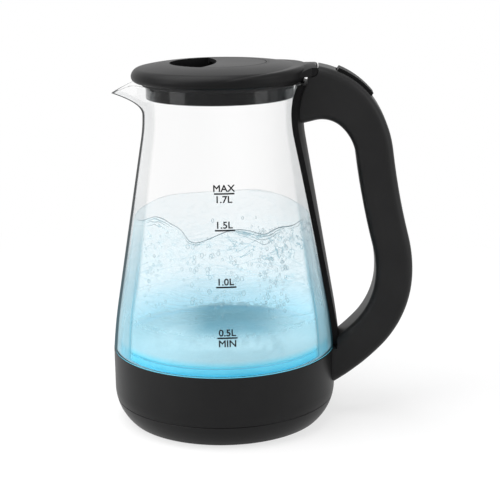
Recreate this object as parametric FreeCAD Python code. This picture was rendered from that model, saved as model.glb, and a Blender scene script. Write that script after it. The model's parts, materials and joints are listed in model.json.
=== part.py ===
import FreeCAD, Part
import math
import os

V = FreeCAD.Vector

# Electric kettle: a glass jug with a hinged lid on a round power base.
# Millimetres, +Z up, +X to the handle and -X to the spout.
# Pieces are drawn about the jug's axis and saved about the middle of the kettle's footprint.

# Clearances
seam_gap = 0.4
swing_gap = 0.4
rest_gap = 0.3
plug_gap = 0.6
pin_play = 0.05
bond_gap = 0.05
screw_play = 0.05

# Power base
base_height = 16.2
base_wall = 2.2
base_plate = 2.0
base_lip = 1.1
base_edge = 0.4
foot_drop = 1.0
foot_radius = 6.0
foot_inset = 10.9
foot_count = 4
foot_turn = 45.0
foot_recess = 1.2
base_screw_inset = 18.9
base_boss_radius = 3.6
inlet_radius = 3.6
inlet_height = 8.4

# Screws
screw_radius = 1.5
screw_head = 2.9
head_height = 1.2
screw_count = 3
screw_turn = 60.0
screw_skin = 1.0
side_screw_length = 10.0

# Socket of the power base and plug of the jug
socket_radius = 24.2
socket_flange = 4.0
collar_drop = 3.0
tower_radius = 19.0
tower_height = 15.0
shutter_height = 2.1
slot_radii = (8.5, 13.9)
slot_width = 2.6
slot_depth = 1.2
ring_wall = 1.4
ring_lift = 1.3
centre_pin_radius = 2.2
centre_pin_drop = 1.8
pin_hole_depth = 3.0
contact_width = 5.0
centre_contact_width = 3.0
contact_wall = 0.8
contact_rise = 0.9
contact_root = 3.4
skirt_wall = 3.8

# Bowl shared by the power base and the foot of the housing
bowl_radius = 30.7
bowl_rise = 6.4

# Housing round the heater
housing_radius = 77.3
housing_height = 34.4
housing_wall = 2.5
housing_edge = 4.4
housing_brow = 0.6
housing_lip = 3.4
ledge_wall = 2.4
ledge_cover = 1.2
cover_plate = 2.0
cover_lift = 1.2
cover_gap = 0.4
cover_screw_inset = 9.7
cover_screw_length = 14.0
boss_radius = 3.4
rib_wall = 2.2
rib_root = 0.5

# Heater
plate_wall = 0.8
plate_drop = 5.0
plate_gap = 0.2
plate_lip = 1.4
rim_rise = 2.0
diffuser_radius = 52.0
diffuser_height = 3.8
element_circle = 42.0
element_radius = 3.3
element_flat = 0.78
element_sweep = 300.0
cold_end_share = 0.7
cold_end_length = 11.2
control_radius = 26.0
control_flange = 33.0
control_screw_inset = 5.0
flange_height = 4.6
control_gap = 1.6
ceiling_gap = 0.8
post_radius = 4.0
disc_radius = 9.0
disc_wall = 0.8
disc_offset = 13.0

# Lamps
board_wall = 1.6
board_width = 11.0
board_gap = 0.8
lamp_count = 8
lamp_turn = 22.5
lamp_size = 3.2
lamp_height = 1.9
lamp_gap = 2.3
lamp_inset = 0.5
light_wall = 3.1
light_foot = 1.4

# Glass
glass_inset = 0.2
glass_wall = 2.8
seal_wall = 0.6
seal_lip = 4.0
seal_inset = 0.9
shoulder_inset = 4.1
shoulder_rise = 31.4
neck_inset = 24.9
neck_rise = 161.6
neck_blend = 95.0
rim_flare = 4.9
rim_above_neck = 21.2
spout_reach = 19.8
spout_rise = 14.3
spout_half_angle = 45.0
spout_sharpness = 4
lip_run = 16.4
rim_trim = 2.0
collar_steps = 7
spout_steps = 18
wide_steps = 9

# Handle, given as steps along its outer edge from the lid down
handle_width = 32.0
grip_thickness = 25.2
handle_edge = 6.0
handle_wall = 2.6
cover_depth = 5.0
top_slope = -9.0
brow_run = 37.9
brow_drop = 25.5
grip_run = 12.1
grip_drop = 32.5
palm_run = 11.0
palm_drop = 58.4
belly_run = 3.1
belly_drop = 27.7
heel_run = 20.6
heel_rise = 1.4
arm_rise = 9.4
arm_depth = 37.3
arm_inset = 6.6
arch_run = 21.7
arch_drop = 4.5
arm_wall = 5.7
arm_floor_wall = 8.7
arm_screw_y = 9.5
arm_screw_rise = 10.0
spine_wall = 3.7
spine_half_top = 22.0
spine_half_low = 9.6
spine_screw_rise = 7.0
spine_screw_step = 10.0
spine_screw_gap = 0.2
port_margin = 0.6
port_depth = 12.0

# Lid
lid_overhang = 2.1
lid_gap = 0.8
lid_height = 12.0
lid_wall = 2.4
lid_rim_wall = 3.4
lid_foot = 3.7
lid_edge_rise = 3.8
lid_edge_run = 4.8
lid_edge_drop = 2.7
lid_crown_angle = 2.0
fairing_front = 6.6
fairing_back = 11.0
fairing_edge = 3.0
well_inset = 19.0
well_depth = 14.2
grip_wall = 2.6
grip_gap = 0.2
grip_front = -2.0
grip_corner = -10.0
grip_ledge = 2.0
ledge_height = 1.6
skirt_gap = 2.6
skirt_drop = 10.8
skirt_flange = 1.4
lid_floor = 2.0
lid_boss_inset = 7.8
lid_screw_length = 10.0
seal_height = 2.2
seal_width = 2.4
steam_slot_reach = 26.0
steam_slot_length = 12.0
steam_slot_width = 2.4
steam_slot_pitch = 6.0
steam_slot_count = 4

# Hinge of the lid
tail_half = 15.5
tail_fall = 0.6
tail_sink = 1.6
tail_crown = 60.0
tail_root_angle = 31.0
tail_waist = 0.12
tail_overlap = 2.0
tail_gap = 1.2
tail_run = 6.4
tail_step = 1.3
notch_depth = 14.0
knuckle_radius = 3.9
knuckle_skin = 1.2
lug_half = 8.2
lug_neck = 2.8
lug_lean = 68.0
lug_root = 2.0
hinge_pin_radius = 1.1
pin_end = 1.0

# Leads in the handle
lead_radius = 1.6
lead_play = 0.6
lead_bend = 20.0
lead_inset = 9.0
lead_gap = 0.15
lead_drop = 2.5

# Switch
switch_half = 9.0
switch_plate = 2.0
switch_wing = 3.0
switch_cheek = 1.0
rocker_length = 28.4
rocker_half = 8.8
rocker_proud = 2.2
rocker_floor = 1.0
rocker_pivot_depth = 6.0
rocker_end_gap = 0.9
rocker_side_gap = 0.5
rocker_margin_angle = 5.0
stub_radius = 1.5
stub_length = 2.6
stub_wall = 1.4
arm_length = 7.0
arm_half = 3.0
tip_radius = 1.2
lever_hub = 2.4
lever_reach = 9.5
lever_wall = 2.4
prong_wall = 1.8
prong_rise = 1.4
pad_drop = 1.0
pad_length = 3.0
pad_inset = 1.0
steam_disc_radius = 5.0
steam_disc_wall = 0.6
steam_disc_drop = 4.0
steam_disc_reach = 6.5


def bowl(z, inset=0.0):
    # Radius of the bowl at a height, moved inward by the inset.
    return bowl_centre + math.sqrt((bowl_radius - inset) ** 2 - (bowl_top - z) ** 2)


def bowl_heading(z, inset=0.0):
    # Direction of the bowl's section at a height, going up.
    return math.degrees(math.atan2(bowl(z, inset) - bowl_centre, bowl_top - z))


# Radii and heights worked out from the sizes above
plate_low = foot_drop
housing_low = base_height + seam_gap
bowl_top = housing_low + bowl_rise
bowl_centre = housing_radius - bowl_radius
base_bottom_radius = bowl(plate_low) - base_lip
foot_circle = base_bottom_radius - foot_inset
base_screw_circle = base_bottom_radius - base_screw_inset
socket_top = base_height - screw_skin
tower_top = base_height + tower_height
shutter_low = socket_top + rest_gap
shutter_top = shutter_low + shutter_height
skirt_low = shutter_top + rest_gap
bore_radius = tower_radius + plug_gap
housing_top = housing_low + housing_height
housing_inner = housing_radius - housing_wall
ledge_top = housing_top - housing_lip
ledge_low = ledge_top - ledge_wall
cover_low = base_height + cover_lift
cover_top = cover_low + cover_plate
sill_height = cover_top + cover_lift
cover_radius = housing_radius - housing_edge - rest_gap
cover_screw_circle = housing_radius - cover_screw_inset
glass_low = housing_top + seal_wall
glass_foot_radius = housing_radius - glass_inset
shoulder_radius = housing_radius - shoulder_inset
shoulder_height = glass_low + shoulder_rise
neck_radius = housing_radius - neck_inset
neck_height = glass_low + neck_rise
rim_radius = neck_radius + rim_flare
rim_height = neck_height + rim_above_neck
spout_height = neck_height + spout_rise
plate_low_face = housing_top - plate_drop
diffuser_low = plate_low_face - diffuser_height
control_top = diffuser_low - control_gap
flange_low = control_top - flange_height
control_screw_circle = control_flange - control_screw_inset
light_top = housing_top + rim_rise
seal_outer = glass_foot_radius - glass_wall - seal_inset
light_outer = seal_outer - seal_wall
light_inner = light_outer - light_wall
ledge_inner = light_inner + ledge_cover
lamp_circle = light_inner + lamp_inset
board_top = ledge_low - lamp_height - lamp_gap
lid_radius = rim_radius + lid_overhang
lid_low = rim_height + lid_gap
lid_top = lid_low + lid_height
lid_edge_height = lid_low + lid_edge_rise
lid_inside = lid_radius - lid_rim_wall
lid_inside_top = lid_top - lid_edge_drop - lid_wall
well_radius = neck_radius - well_inset
well_floor = lid_top - well_depth
skirt_radius = neck_radius - skirt_gap
skirt_bottom = lid_low - skirt_drop
lid_boss_circle = skirt_radius - lid_boss_inset
tail_top = lid_top - tail_fall
tail_low = tail_top - 2 * knuckle_radius
tail_reach = lid_radius + tail_run
hinge_x = tail_reach - knuckle_radius
hinge_z = tail_top - knuckle_radius
recess_radius = knuckle_radius + swing_gap
recess_floor = hinge_z - recess_radius

# Points of the handle's outer edge and of the arch under its arm
handle_front = hinge_x + recess_radius
brow_reach = handle_front + brow_run
brow_height = tail_top - brow_drop
grip_top_reach = brow_reach + grip_run
grip_top_height = brow_height - grip_drop
palm_reach = grip_top_reach + palm_run
palm_height = grip_top_height - palm_drop
belly_reach = palm_reach + belly_run
belly_height = palm_height - belly_drop
heel_reach = belly_reach - heel_run
heel_height = housing_top + heel_rise
arm_low = housing_low + arm_rise
arm_under_reach = rim_radius + arm_inset
arm_under_height = tail_top - arm_depth
arch_reach = handle_front + arch_run - arm_inset
arch_height = arm_under_height - arch_drop
middle_x = (belly_reach - housing_radius) / 2


class Outline:
    # A chain of lines and tangent arcs in the XZ plane.
    def __init__(self, x, z):
        self.edges = []
        self.start = V(x, 0, z)
        self.place = self.start
        self.heading = V(1, 0, 0)
        self.marks = []

    def head(self, degrees):
        turn = math.radians(degrees)
        self.heading = V(math.cos(turn), 0, math.sin(turn))
        return self

    def arrive(self, end, heading, edge, step):
        if not self.marks:
            self.marks.append((self.place, self.heading, None))
        self.edges.append(edge.toShape())
        self.place = end
        self.heading = heading
        self.marks.append((end, heading, step))
        return self

    def line(self, x, z):
        end = V(x, 0, z)
        heading = (end - self.place).normalize()
        if not self.marks:
            self.heading = heading
        return self.arrive(end, heading, Part.LineSegment(self.place, end), Outline.line)

    def run_to(self, x):
        # Straight on, or back, in the present heading.
        slope = self.heading.z / self.heading.x
        return self.line(x, self.place.z + (x - self.place.x) * slope)

    def curve(self, x, z):
        # Arc that leaves in the present heading and ends at the point.
        end = V(x, 0, z)
        chord = end - self.place
        side = V(-self.heading.z, 0, self.heading.x)
        swing = chord.Length ** 2 / (2 * side.dot(chord))
        self.centre = self.place + side * swing
        self.radius = abs(swing)
        outward = (self.place - self.centre) + (end - self.centre)
        middle = self.centre + outward.normalize() * self.radius
        spoke = (end - self.centre).normalize()
        heading = V(-spoke.z, 0, spoke.x) * math.copysign(1, swing)
        return self.arrive(end, heading, Part.Arc(self.place, middle, end), Outline.curve)

    def parallel(self, shift, first=0):
        # The same chain from one of its marks on, moved to its right.
        place, heading, step = self.marks[first]
        start = place + V(heading.z, 0, -heading.x) * shift
        copy = Outline(start.x, start.z)
        copy.heading = heading
        for place, heading, step in self.marks[first + 1:]:
            end = place + V(heading.z, 0, -heading.x) * shift
            step(copy, end.x, end.z)
        return copy

    def face(self):
        edges = list(self.edges)
        if self.place.distanceToPoint(self.start) > 1e-6:
            edges.append(Part.LineSegment(self.place, self.start).toShape())
        return Part.Face(Part.Wire(edges))


def polygon(*points):
    outline = Outline(*points[0])
    for point in points[1:]:
        outline.line(*point)
    return outline.face()


def turned(face):
    return face.revolve(V(0, 0, 0), V(0, 0, 1), 360)


def slab(face, half):
    solid = face.extrude(V(0, 2 * half, 0))
    solid.translate(V(0, -half, 0))
    return solid


def cylinder(radius, low, high, x=0, y=0):
    return Part.makeCylinder(radius, high - low, V(x, y, low))


def ring(inner, outer, low, high):
    return cylinder(outer, low, high).cut(cylinder(inner, low, high))


def box(x0, x1, y0, y1, z0, z1):
    return Part.makeBox(x1 - x0, y1 - y0, z1 - z0, V(x0, y0, z0))


def spun(shape, degrees):
    copy = shape.copy()
    copy.rotate(V(0, 0, 0), V(0, 0, 1), degrees)
    return copy


def pattern(shape, count, first=0.0):
    return [spun(shape, first + 360.0 * k / count) for k in range(count)]


def fused(*shapes):
    return shapes[0].multiFuse(list(shapes[1:])).removeSplitter()


def group(shapes):
    return Part.makeCompound(shapes)


def save(name, shape):
    shape.translate(V(-middle_x, 0, 0))
    shape.exportStep("parts/" + name + ".step")
    print(name, len(shape.Solids), round(shape.Volume / 1000.0, 2), shape.isValid())


def screw(shank_low, shank_high, circle, head_low):
    # Screw that points up, with its head at the bottom.
    head = cylinder(screw_head, head_low, head_low + head_height, circle)
    shank = cylinder(screw_radius, shank_low, shank_high, circle)
    return fused(head, shank)


def screw_hole(shank_low, shank_high, circle, head_low, head_top):
    hole = cylinder(screw_radius + screw_play, shank_low, shank_high, circle)
    seat = cylinder(screw_head + screw_play, head_low, head_top, circle)
    return fused(hole, seat)


# Power base

def make_base_shell():
    # Bowl-shaped wall and flat top, of one thickness.
    edge_low = base_height - base_edge
    deck_low = base_height - base_wall
    floor = plate_low + base_wall
    outline = Outline(base_bottom_radius, plate_low)
    outline.line(bowl(plate_low), plate_low)
    outline.head(bowl_heading(plate_low)).curve(bowl(edge_low), edge_low)
    outline.line(bowl(base_height) - base_edge, base_height)
    outline.line(socket_radius + swing_gap, base_height)
    outline.line(socket_radius + swing_gap, deck_low)
    outline.line(bowl(deck_low, base_wall), deck_low)
    outline.head(bowl_heading(deck_low, base_wall) + 180).curve(bowl(floor, base_wall), floor)
    outline.line(base_bottom_radius, floor)
    shell = turned(outline.face())
    boss = cylinder(base_boss_radius, plate_low + base_plate, deck_low, base_screw_circle)
    shell = fused(shell, *pattern(boss, screw_count))
    hole = cylinder(screw_radius + screw_play, plate_low, deck_low - screw_skin, base_screw_circle)
    for tool in pattern(hole, screw_count):
        shell = shell.cut(tool)
    inlet = Part.makeCylinder(inlet_radius, housing_radius, V(0, 0, inlet_height), V(0, 1, 0))
    inlet = inlet.cut(cylinder(base_bottom_radius, 0, base_height))
    return shell.cut(inlet)


def make_base_bottom_cover():
    plate = cylinder(base_bottom_radius, plate_low, plate_low + base_plate)
    foot_seat = cylinder(foot_radius, plate_low, plate_low + foot_recess, foot_circle)
    for tool in pattern(foot_seat, foot_count, foot_turn):
        plate = plate.cut(tool)
    plate_top = plate_low + base_plate
    hole = screw_hole(plate_low, plate_top, base_screw_circle, plate_low, plate_low + head_height)
    for tool in pattern(hole, screw_count):
        plate = plate.cut(tool)
    return plate


def make_base_feet():
    foot = cylinder(foot_radius, 0, plate_low + foot_recess, foot_circle)
    return group(pattern(foot, foot_count, foot_turn))


def make_base_screws():
    one = screw(plate_low, base_height - base_wall - 2 * screw_skin, base_screw_circle, plate_low)
    return group(pattern(one, screw_count))


def contact_strips():
    low = plate_low + base_plate + screw_skin
    half = contact_wall / 2
    centre_half = centre_contact_width / 2
    strips = [box(-half, half, -centre_half, centre_half, low, socket_top - pin_hole_depth)]
    for number, radius in enumerate(slot_radii):
        wide_half = contact_width / 2
        strip = box(radius - half, radius + half, -wide_half, wide_half, low, socket_top + contact_rise)
        strips.append(spun(strip, 360 * (number + 1) / (len(slot_radii) + 1)))
    return strips


def make_base_socket():
    flange_top = base_height - base_wall
    flange = cylinder(socket_radius + socket_flange, flange_top - base_wall, flange_top)
    collar = cylinder(socket_radius, flange_top - base_wall - collar_drop, socket_top)
    tower = cylinder(tower_radius, socket_top, tower_top)
    socket = fused(flange, collar, tower)
    socket = socket.cut(cylinder(centre_pin_radius + plug_gap, socket_top - pin_hole_depth, tower_top))
    for radius in slot_radii:
        slot = ring(radius - slot_width / 2, radius + slot_width / 2, socket_top - slot_depth, tower_top)
        socket = socket.cut(slot)
    for strip in contact_strips():
        socket = socket.cut(strip)
    return socket


def make_socket_contacts():
    return group(contact_strips())


def make_socket_shutter():
    return ring(tower_radius + swing_gap, socket_radius - swing_gap, shutter_low, shutter_top)


# Heater and housing of the jug

def make_connector_contacts():
    top = tower_top + contact_root
    pin = cylinder(centre_pin_radius, socket_top - centre_pin_drop, top)
    rings = []
    for radius in slot_radii:
        rings.append(ring(radius - ring_wall / 2, radius + ring_wall / 2, socket_top + ring_lift, top))
    return [pin] + rings


def make_control_unit():
    ceiling = tower_top + ceiling_gap
    skirt = ring(bore_radius, bore_radius + skirt_wall, skirt_low, ceiling)
    body = cylinder(control_radius, ceiling, control_top)
    sleeve = ring(bore_radius, control_radius, cover_top + plug_gap, ceiling)
    flange = cylinder(control_flange, flange_low, control_top)
    post = cylinder(post_radius, control_top, diffuser_low, control_screw_circle)
    unit = fused(skirt, body, sleeve, flange, *pattern(post, screw_count, screw_turn))
    for contact in make_connector_contacts():
        unit = unit.cut(contact)
    hole = screw_hole(flange_low, diffuser_low, control_screw_circle, flange_low, flange_low + head_height)
    for tool in pattern(hole, screw_count, screw_turn):
        unit = unit.cut(tool)
    return unit


def make_control_screws():
    one = screw(flange_low, plate_low_face - screw_skin, control_screw_circle, flange_low)
    return group(pattern(one, screw_count, screw_turn))


def make_dry_boil_discs():
    top = control_top + disc_wall
    return group([cylinder(disc_radius, control_top, top, side * disc_offset) for side in (-1, 1)])


def make_heat_diffuser():
    diffuser = cylinder(diffuser_radius, diffuser_low, plate_low_face)
    hole_top = plate_low_face - screw_skin
    hole = cylinder(screw_radius + screw_play, diffuser_low, hole_top, control_screw_circle)
    for tool in pattern(hole, screw_count, screw_turn):
        diffuser = diffuser.cut(tool)
    return diffuser


def make_heater_element():
    # Sheathed tube bent to an open ring, flattened where it lies on the diffuser.
    centre = diffuser_low - element_radius * element_flat
    middle = V(0, 0, centre)
    tube = Part.makeTorus(element_circle, element_radius, middle, V(0, 0, 1), -180, 180, element_sweep)
    tube.rotate(V(0, 0, 0), V(0, 0, 1), 180 - element_sweep / 2)
    tube = tube.cut(cylinder(element_circle * 2, diffuser_low, diffuser_low + element_radius))
    half = math.radians(element_sweep / 2)
    ends = []
    for side in (-1, 1):
        x = -element_circle * math.cos(half)
        y = side * element_circle * math.sin(half)
        ends.append(cylinder(element_radius * cold_end_share, centre - cold_end_length, centre, x, y))
    return fused(tube, *ends)


def make_heater_plate():
    outer = light_inner - plate_gap
    inner = outer - plate_wall
    lip = light_inner + plate_lip
    low = plate_low_face
    profile = polygon(
        (0, low), (outer, low), (outer, light_top), (lip, light_top),
        (lip, light_top + plate_wall), (inner, light_top + plate_wall),
        (inner, low + plate_wall), (0, low + plate_wall))
    return turned(profile)


def make_light_ring():
    upper = ring(light_inner, light_outer, ledge_top, light_top)
    foot = ring(light_inner, ledge_inner - plate_gap, ledge_low - light_foot, ledge_top)
    return fused(upper, foot)


def make_led_board():
    outer = housing_inner - board_gap
    return ring(outer - board_width, outer, board_top - board_wall, board_top)


def make_leds():
    half = lamp_size / 2
    lamp = box(lamp_circle - half, lamp_circle + half, -half, half, board_top, board_top + lamp_height)
    return group(pattern(lamp, lamp_count, lamp_turn))


def make_glass_seal():
    flat = ring(light_outer, glass_foot_radius - glass_inset, housing_top, glass_low)
    lip = ring(light_outer, seal_outer, glass_low, glass_low + seal_lip)
    return fused(flat, lip)


def make_base_housing():
    seat = housing_inner + glass_inset
    outline = Outline(housing_radius - housing_edge, housing_low)
    outline.line(bowl(housing_low), housing_low)
    outline.head(bowl_heading(housing_low)).curve(housing_radius, bowl_top)
    outline.line(housing_radius, housing_top - housing_brow)
    outline.head(90).curve(housing_radius - housing_brow, housing_top)
    outline.line(seat, housing_top)
    outline.line(seat, ledge_top)
    outline.line(ledge_inner, ledge_top)
    outline.line(ledge_inner, ledge_low)
    outline.line(housing_inner, ledge_low)
    outline.line(housing_inner, sill_height + housing_edge - housing_wall)
    outline.line(housing_radius - housing_edge, sill_height)
    housing = turned(outline.face())
    board_low = board_top - board_wall
    boss = cylinder(boss_radius, cover_top, board_low, cover_screw_circle)
    rib_low = cover_top + housing_edge
    rib = box(cover_screw_circle, housing_inner + rib_root, -rib_wall / 2, rib_wall / 2, rib_low, board_low)
    for tool in pattern(fused(boss, rib), screw_count, screw_turn):
        housing = housing.fuse(tool)
    hole_top = cover_low + cover_screw_length + screw_skin
    hole = cylinder(screw_radius + screw_play, cover_top, hole_top, cover_screw_circle)
    for tool in pattern(hole, screw_count, screw_turn):
        housing = housing.cut(tool)
    for tool in arm_screws(screw_play):
        housing = housing.cut(tool)
    return housing.cut(lead_tube(lead_radius + lead_play)).removeSplitter()


def make_jug_bottom_cover():
    plate = ring(control_radius + cover_gap, cover_radius, cover_low, cover_top)
    hole = screw_hole(cover_low, cover_top, cover_screw_circle, cover_low, cover_low + head_height)
    for tool in pattern(hole, screw_count, screw_turn):
        plate = plate.cut(tool)
    return plate


def make_bottom_cover_screws():
    one = screw(cover_low, cover_low + cover_screw_length, cover_screw_circle, cover_low)
    return group(pattern(one, screw_count, screw_turn))


# Glass

def cone_top(out):
    # Point where the straight cone meets the rounded neck.
    centre = V(neck_radius + out + neck_blend, 0, neck_height)
    corner = V(shoulder_radius + out, 0, shoulder_height)
    reach = centre - corner
    run = math.sqrt(reach.Length ** 2 - neck_blend ** 2)
    angle = math.atan2(reach.z, reach.x) + math.asin(neck_blend / reach.Length)
    return corner + V(math.cos(angle), 0, math.sin(angle)) * run


def glass_edges(out, top):
    # Foot, cone and neck of the glass, moved outward by a set distance.
    tangent = cone_top(out)
    shoulder = V(shoulder_radius + out, 0, shoulder_height)
    slope = math.degrees(math.atan2(shoulder.z - tangent.z, shoulder.x - tangent.x))
    foot = Outline(shoulder.x, shoulder.z).head(slope)
    foot.curve(glass_foot_radius + out, glass_low)
    wall = Outline(shoulder.x, shoulder.z)
    wall.line(tangent.x, tangent.z).curve(neck_radius + out, neck_height)
    if top > neck_height:
        wall.head(90).curve(flare_radius(top) + out, top)
    return foot.edges + wall.edges


def flare_radius(z):
    bend = (rim_above_neck ** 2 + rim_flare ** 2) / (2 * rim_flare)
    rise = z - neck_height
    return neck_radius + bend - math.sqrt(bend ** 2 - rise ** 2)


def band_face(inner, outer, top):
    # Closed section between two outlines parallel to the glass.
    inside = glass_edges(inner, top)
    outside = glass_edges(outer, top)
    radius = flare_radius(top)
    foot = glass_foot_radius
    low = Part.LineSegment(V(foot + inner, 0, glass_low), V(foot + outer, 0, glass_low))
    high = Part.LineSegment(V(radius + inner, 0, top), V(radius + outer, 0, top))
    edges = inside + outside + [low.toShape(), high.toShape()]
    return Part.Face(Part.Wire(Part.__sortEdges__(edges)))


def spout_share(degrees):
    off = abs(degrees - 180.0)
    if off >= spout_half_angle:
        return 0.0
    return ((1 + math.cos(math.pi * off / spout_half_angle)) / 2) ** spout_sharpness


def spout_overhang(z):
    rise = max(0.0, (z - neck_height) / spout_rise)
    return spout_reach * rise ** 2


def section_angles():
    # Close together round the spout, wide apart elsewhere.
    start = 180.0 - spout_half_angle
    wide = [start * k / wide_steps for k in range(wide_steps)]
    close = [start + 2 * spout_half_angle * k / spout_steps for k in range(spout_steps + 1)]
    return wide + close + [360.0 - angle for angle in reversed(wide[1:])]


def collar_section(z, out, lift):
    # Level outline of the neck, drawn out to a lip on the spout side.
    angles = section_angles()
    points = []
    for angle in angles:
        turn = math.radians(angle)
        radius = flare_radius(z) + out + spout_overhang(z - lift) * spout_share(angle)
        points.append(V(radius * math.cos(turn), radius * math.sin(turn), z))
    curve = Part.BSplineCurve()
    curve.interpolate(Points=points, PeriodicFlag=True, Parameters=angles + [360.0])
    return Part.Wire([curve.toShape()])


def collar(out, lift):
    top = rim_height + rim_trim
    sections = [Part.Wire([Part.Circle(V(0, 0, neck_height), V(0, 0, 1), neck_radius + out).toShape()])]
    for k in range(1, collar_steps + 1):
        z = neck_height + (top - neck_height) * k / collar_steps
        sections.append(collar_section(z, out, lift))
    return Part.makeLoft(sections, True, False)


def make_glass_jug():
    lower = turned(band_face(-glass_wall, 0, neck_height))
    neck = collar(0, 0).cut(collar(-glass_wall, glass_wall))
    fall = (rim_height - spout_height) / lip_run
    tip_x = -(flare_radius(spout_height) + spout_reach)
    reach = 2 * (rim_radius + spout_reach)
    above = polygon(
        (tip_x + lip_run, rim_height), (reach, rim_height), (reach, rim_height + rim_radius),
        (-reach, rim_height + rim_radius), (-reach, spout_height - fall * (reach + tip_x)))
    neck = neck.cut(slab(above, reach))
    return fused(lower, neck)


# Handle

def handle_outer():
    outline = Outline(handle_front, tail_top - tail_step).head(top_slope)
    outline.curve(brow_reach, brow_height)
    return outline


def handle_back():
    # Outer edge of the handle from the lid down to the housing.
    outline = handle_outer()
    outline.curve(grip_top_reach, grip_top_height)
    outline.grip_start = len(outline.marks) - 1
    outline.curve(palm_reach, palm_height)
    outline.curve(belly_reach, belly_height)
    outline.curve(heel_reach, heel_height)
    outline.curve(housing_radius, arm_low)
    return outline


def handle_face(inset=0.0):
    # Closed side outline of the handle, run on over the lid, drawn in by the inset on all curved edges.
    back = handle_back()
    outer = back.parallel(inset)
    inner = back.parallel(grip_thickness - inset, back.grip_start)
    place, heading, step = back.parallel(grip_thickness, back.grip_start).marks[0]
    arch = Outline(place.x, place.z)
    arch.heading = heading * -1
    arch.curve(arch_reach, arch_height).curve(arm_under_reach, arm_under_height)
    arch = arch.parallel(inset)
    inside = neck_radius - glass_wall
    arch.run_to(inside)
    top = Outline(outer.start.x, outer.start.z).head(top_slope).run_to(inside)
    arch.line(inside, top.place.z)
    arch.line(outer.start.x, outer.start.z)
    end = Part.LineSegment(outer.place, inner.place).toShape()
    edges = outer.edges + inner.edges + arch.edges + [end]
    return Part.Face(Part.Wire(Part.__sortEdges__(edges)))


def lid_recess(wall):
    # Room for the lid and its knuckle in front of the handle, with a wall round it.
    outline = Outline(0, recess_floor - wall)
    outline.line(hinge_x, recess_floor - wall)
    outline.head(0).curve(handle_front + wall, hinge_z)
    outline.line(handle_front + wall, 2 * hinge_z)
    outline.line(0, 2 * hinge_z)
    return slab(outline.face(), handle_width)


def jug_envelope():
    # Everything the handle is fitted against: housing below, spine above.
    outside = bond_gap + spine_wall
    upper = turned(band_face(-glass_foot_radius / 2, outside, rim_height))
    lower = cylinder(housing_radius, housing_low, housing_top)
    upper_foot = cylinder(glass_foot_radius + outside, housing_top, glass_low)
    over_rim = cylinder(rim_radius + outside, rim_height, recess_floor + swing_gap)
    return fused(lower, upper_foot, upper, over_rim)


def spine_screw_heights():
    low = arm_under_height + spine_screw_rise
    return (low, low + spine_screw_step)


def lead_path():
    # Along the grip, from the switch down through the arm to the control unit.
    back = handle_back()
    path = back.parallel(lead_inset, back.grip_start)
    along = path.heading
    bend = path.place + V(along.z, 0, -along.x) * lead_bend
    path.curve(bend.x, bend.z - lead_bend)
    path.line(control_radius, path.place.z)
    top = Outline(path.start.x, path.start.z)
    top.heading = path.marks[0][1] * -1
    goal = at_rocker(Part.Vertex(switch_half + lead_gap, 0, lever_z() - lead_drop)).Point
    top.curve(goal.x, goal.z)
    return Part.Wire(Part.__sortEdges__(top.edges + path.edges))


def lead_tube(radius):
    path = lead_path()
    edge = path.OrderedEdges[0]
    along = edge.tangentAt(edge.FirstParameter)
    start = path.OrderedVertexes[0].Point
    section = Part.Wire([Part.Circle(start, along, radius).toShape()])
    return path.makePipeShell([section], True, False)


def side_screw(x, y, z, play):
    # Screw that points along +X, with its head nearest the axis.
    head = Part.makeCylinder(screw_head + play, head_height, V(x, y, z), V(1, 0, 0))
    shank = Part.makeCylinder(screw_radius + play, side_screw_length, V(x, y, z), V(1, 0, 0))
    return fused(head, shank)


def arm_screws(play):
    # Two screws from inside the housing into the lower arm, two from the spine into the upper one.
    low_x = math.sqrt(housing_inner ** 2 - (arm_screw_y + screw_head) ** 2) - head_height
    screws = [side_screw(low_x, side * arm_screw_y, arm_low + arm_screw_rise, play) for side in (-1, 1)]
    for z in spine_screw_heights():
        screws.append(side_screw(spine_screw_x(z), 0, z, play))
    return screws


def spine_screw_x(z):
    return flare_radius(z + screw_head) + bond_gap + spine_screw_gap


def rounded_handle():
    half = handle_width / 2
    solid = slab(handle_face(), half)
    edges = []
    for edge in solid.Edges:
        middle = edge.valueAt((edge.FirstParameter + edge.LastParameter) / 2)
        on_side = abs(abs(middle.y) - half) < 1e-6
        if on_side and isinstance(edge.Curve, Part.Circle):
            edges.append(edge)
    return solid.makeFillet(handle_edge, edges).cut(lid_recess(0))


def handle_hollow():
    half = handle_width / 2 - handle_wall
    hollow = slab(handle_face(handle_wall), half)
    hollow = hollow.cut(cylinder(rim_radius + arm_wall, housing_top, tail_top))
    hollow = hollow.cut(lid_recess(handle_wall))
    return hollow.cut(cylinder(housing_radius + arm_floor_wall, 0, shoulder_height))


def handle_split():
    # Everything deeper than the cover strip, measured from the outer edge.
    outline = handle_back().parallel(cover_depth)
    outline.line(-housing_radius, arm_low + cover_depth)
    outline.line(-housing_radius, outline.start.z)
    return slab(outline.face(), handle_width)


def rocker_arc():
    outline = handle_outer()
    return outline.centre, outline.radius


def rocker_turn():
    # Angle on the handle's brow at the middle of the rocker.
    centre, radius = rocker_arc()
    end = math.degrees(math.atan2(brow_height - centre.z, brow_reach - centre.x))
    span = math.degrees(rocker_length / radius)
    return end + span / 2 + rocker_margin_angle


def rocker_pivot():
    centre, radius = rocker_arc()
    turn = math.radians(rocker_turn())
    reach = radius - rocker_pivot_depth
    return centre + V(math.cos(turn), 0, math.sin(turn)) * reach


def at_rocker(shape):
    # From the rocker's own axes to the kettle's.
    copy = shape.copy()
    copy.rotate(V(0, 0, 0), V(0, 1, 0), 90 - rocker_turn())
    copy.translate(rocker_pivot())
    return copy


def along_y(radius, half, x, z):
    return Part.makeCylinder(radius, 2 * half, V(x, -half, z), V(0, 1, 0))


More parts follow.
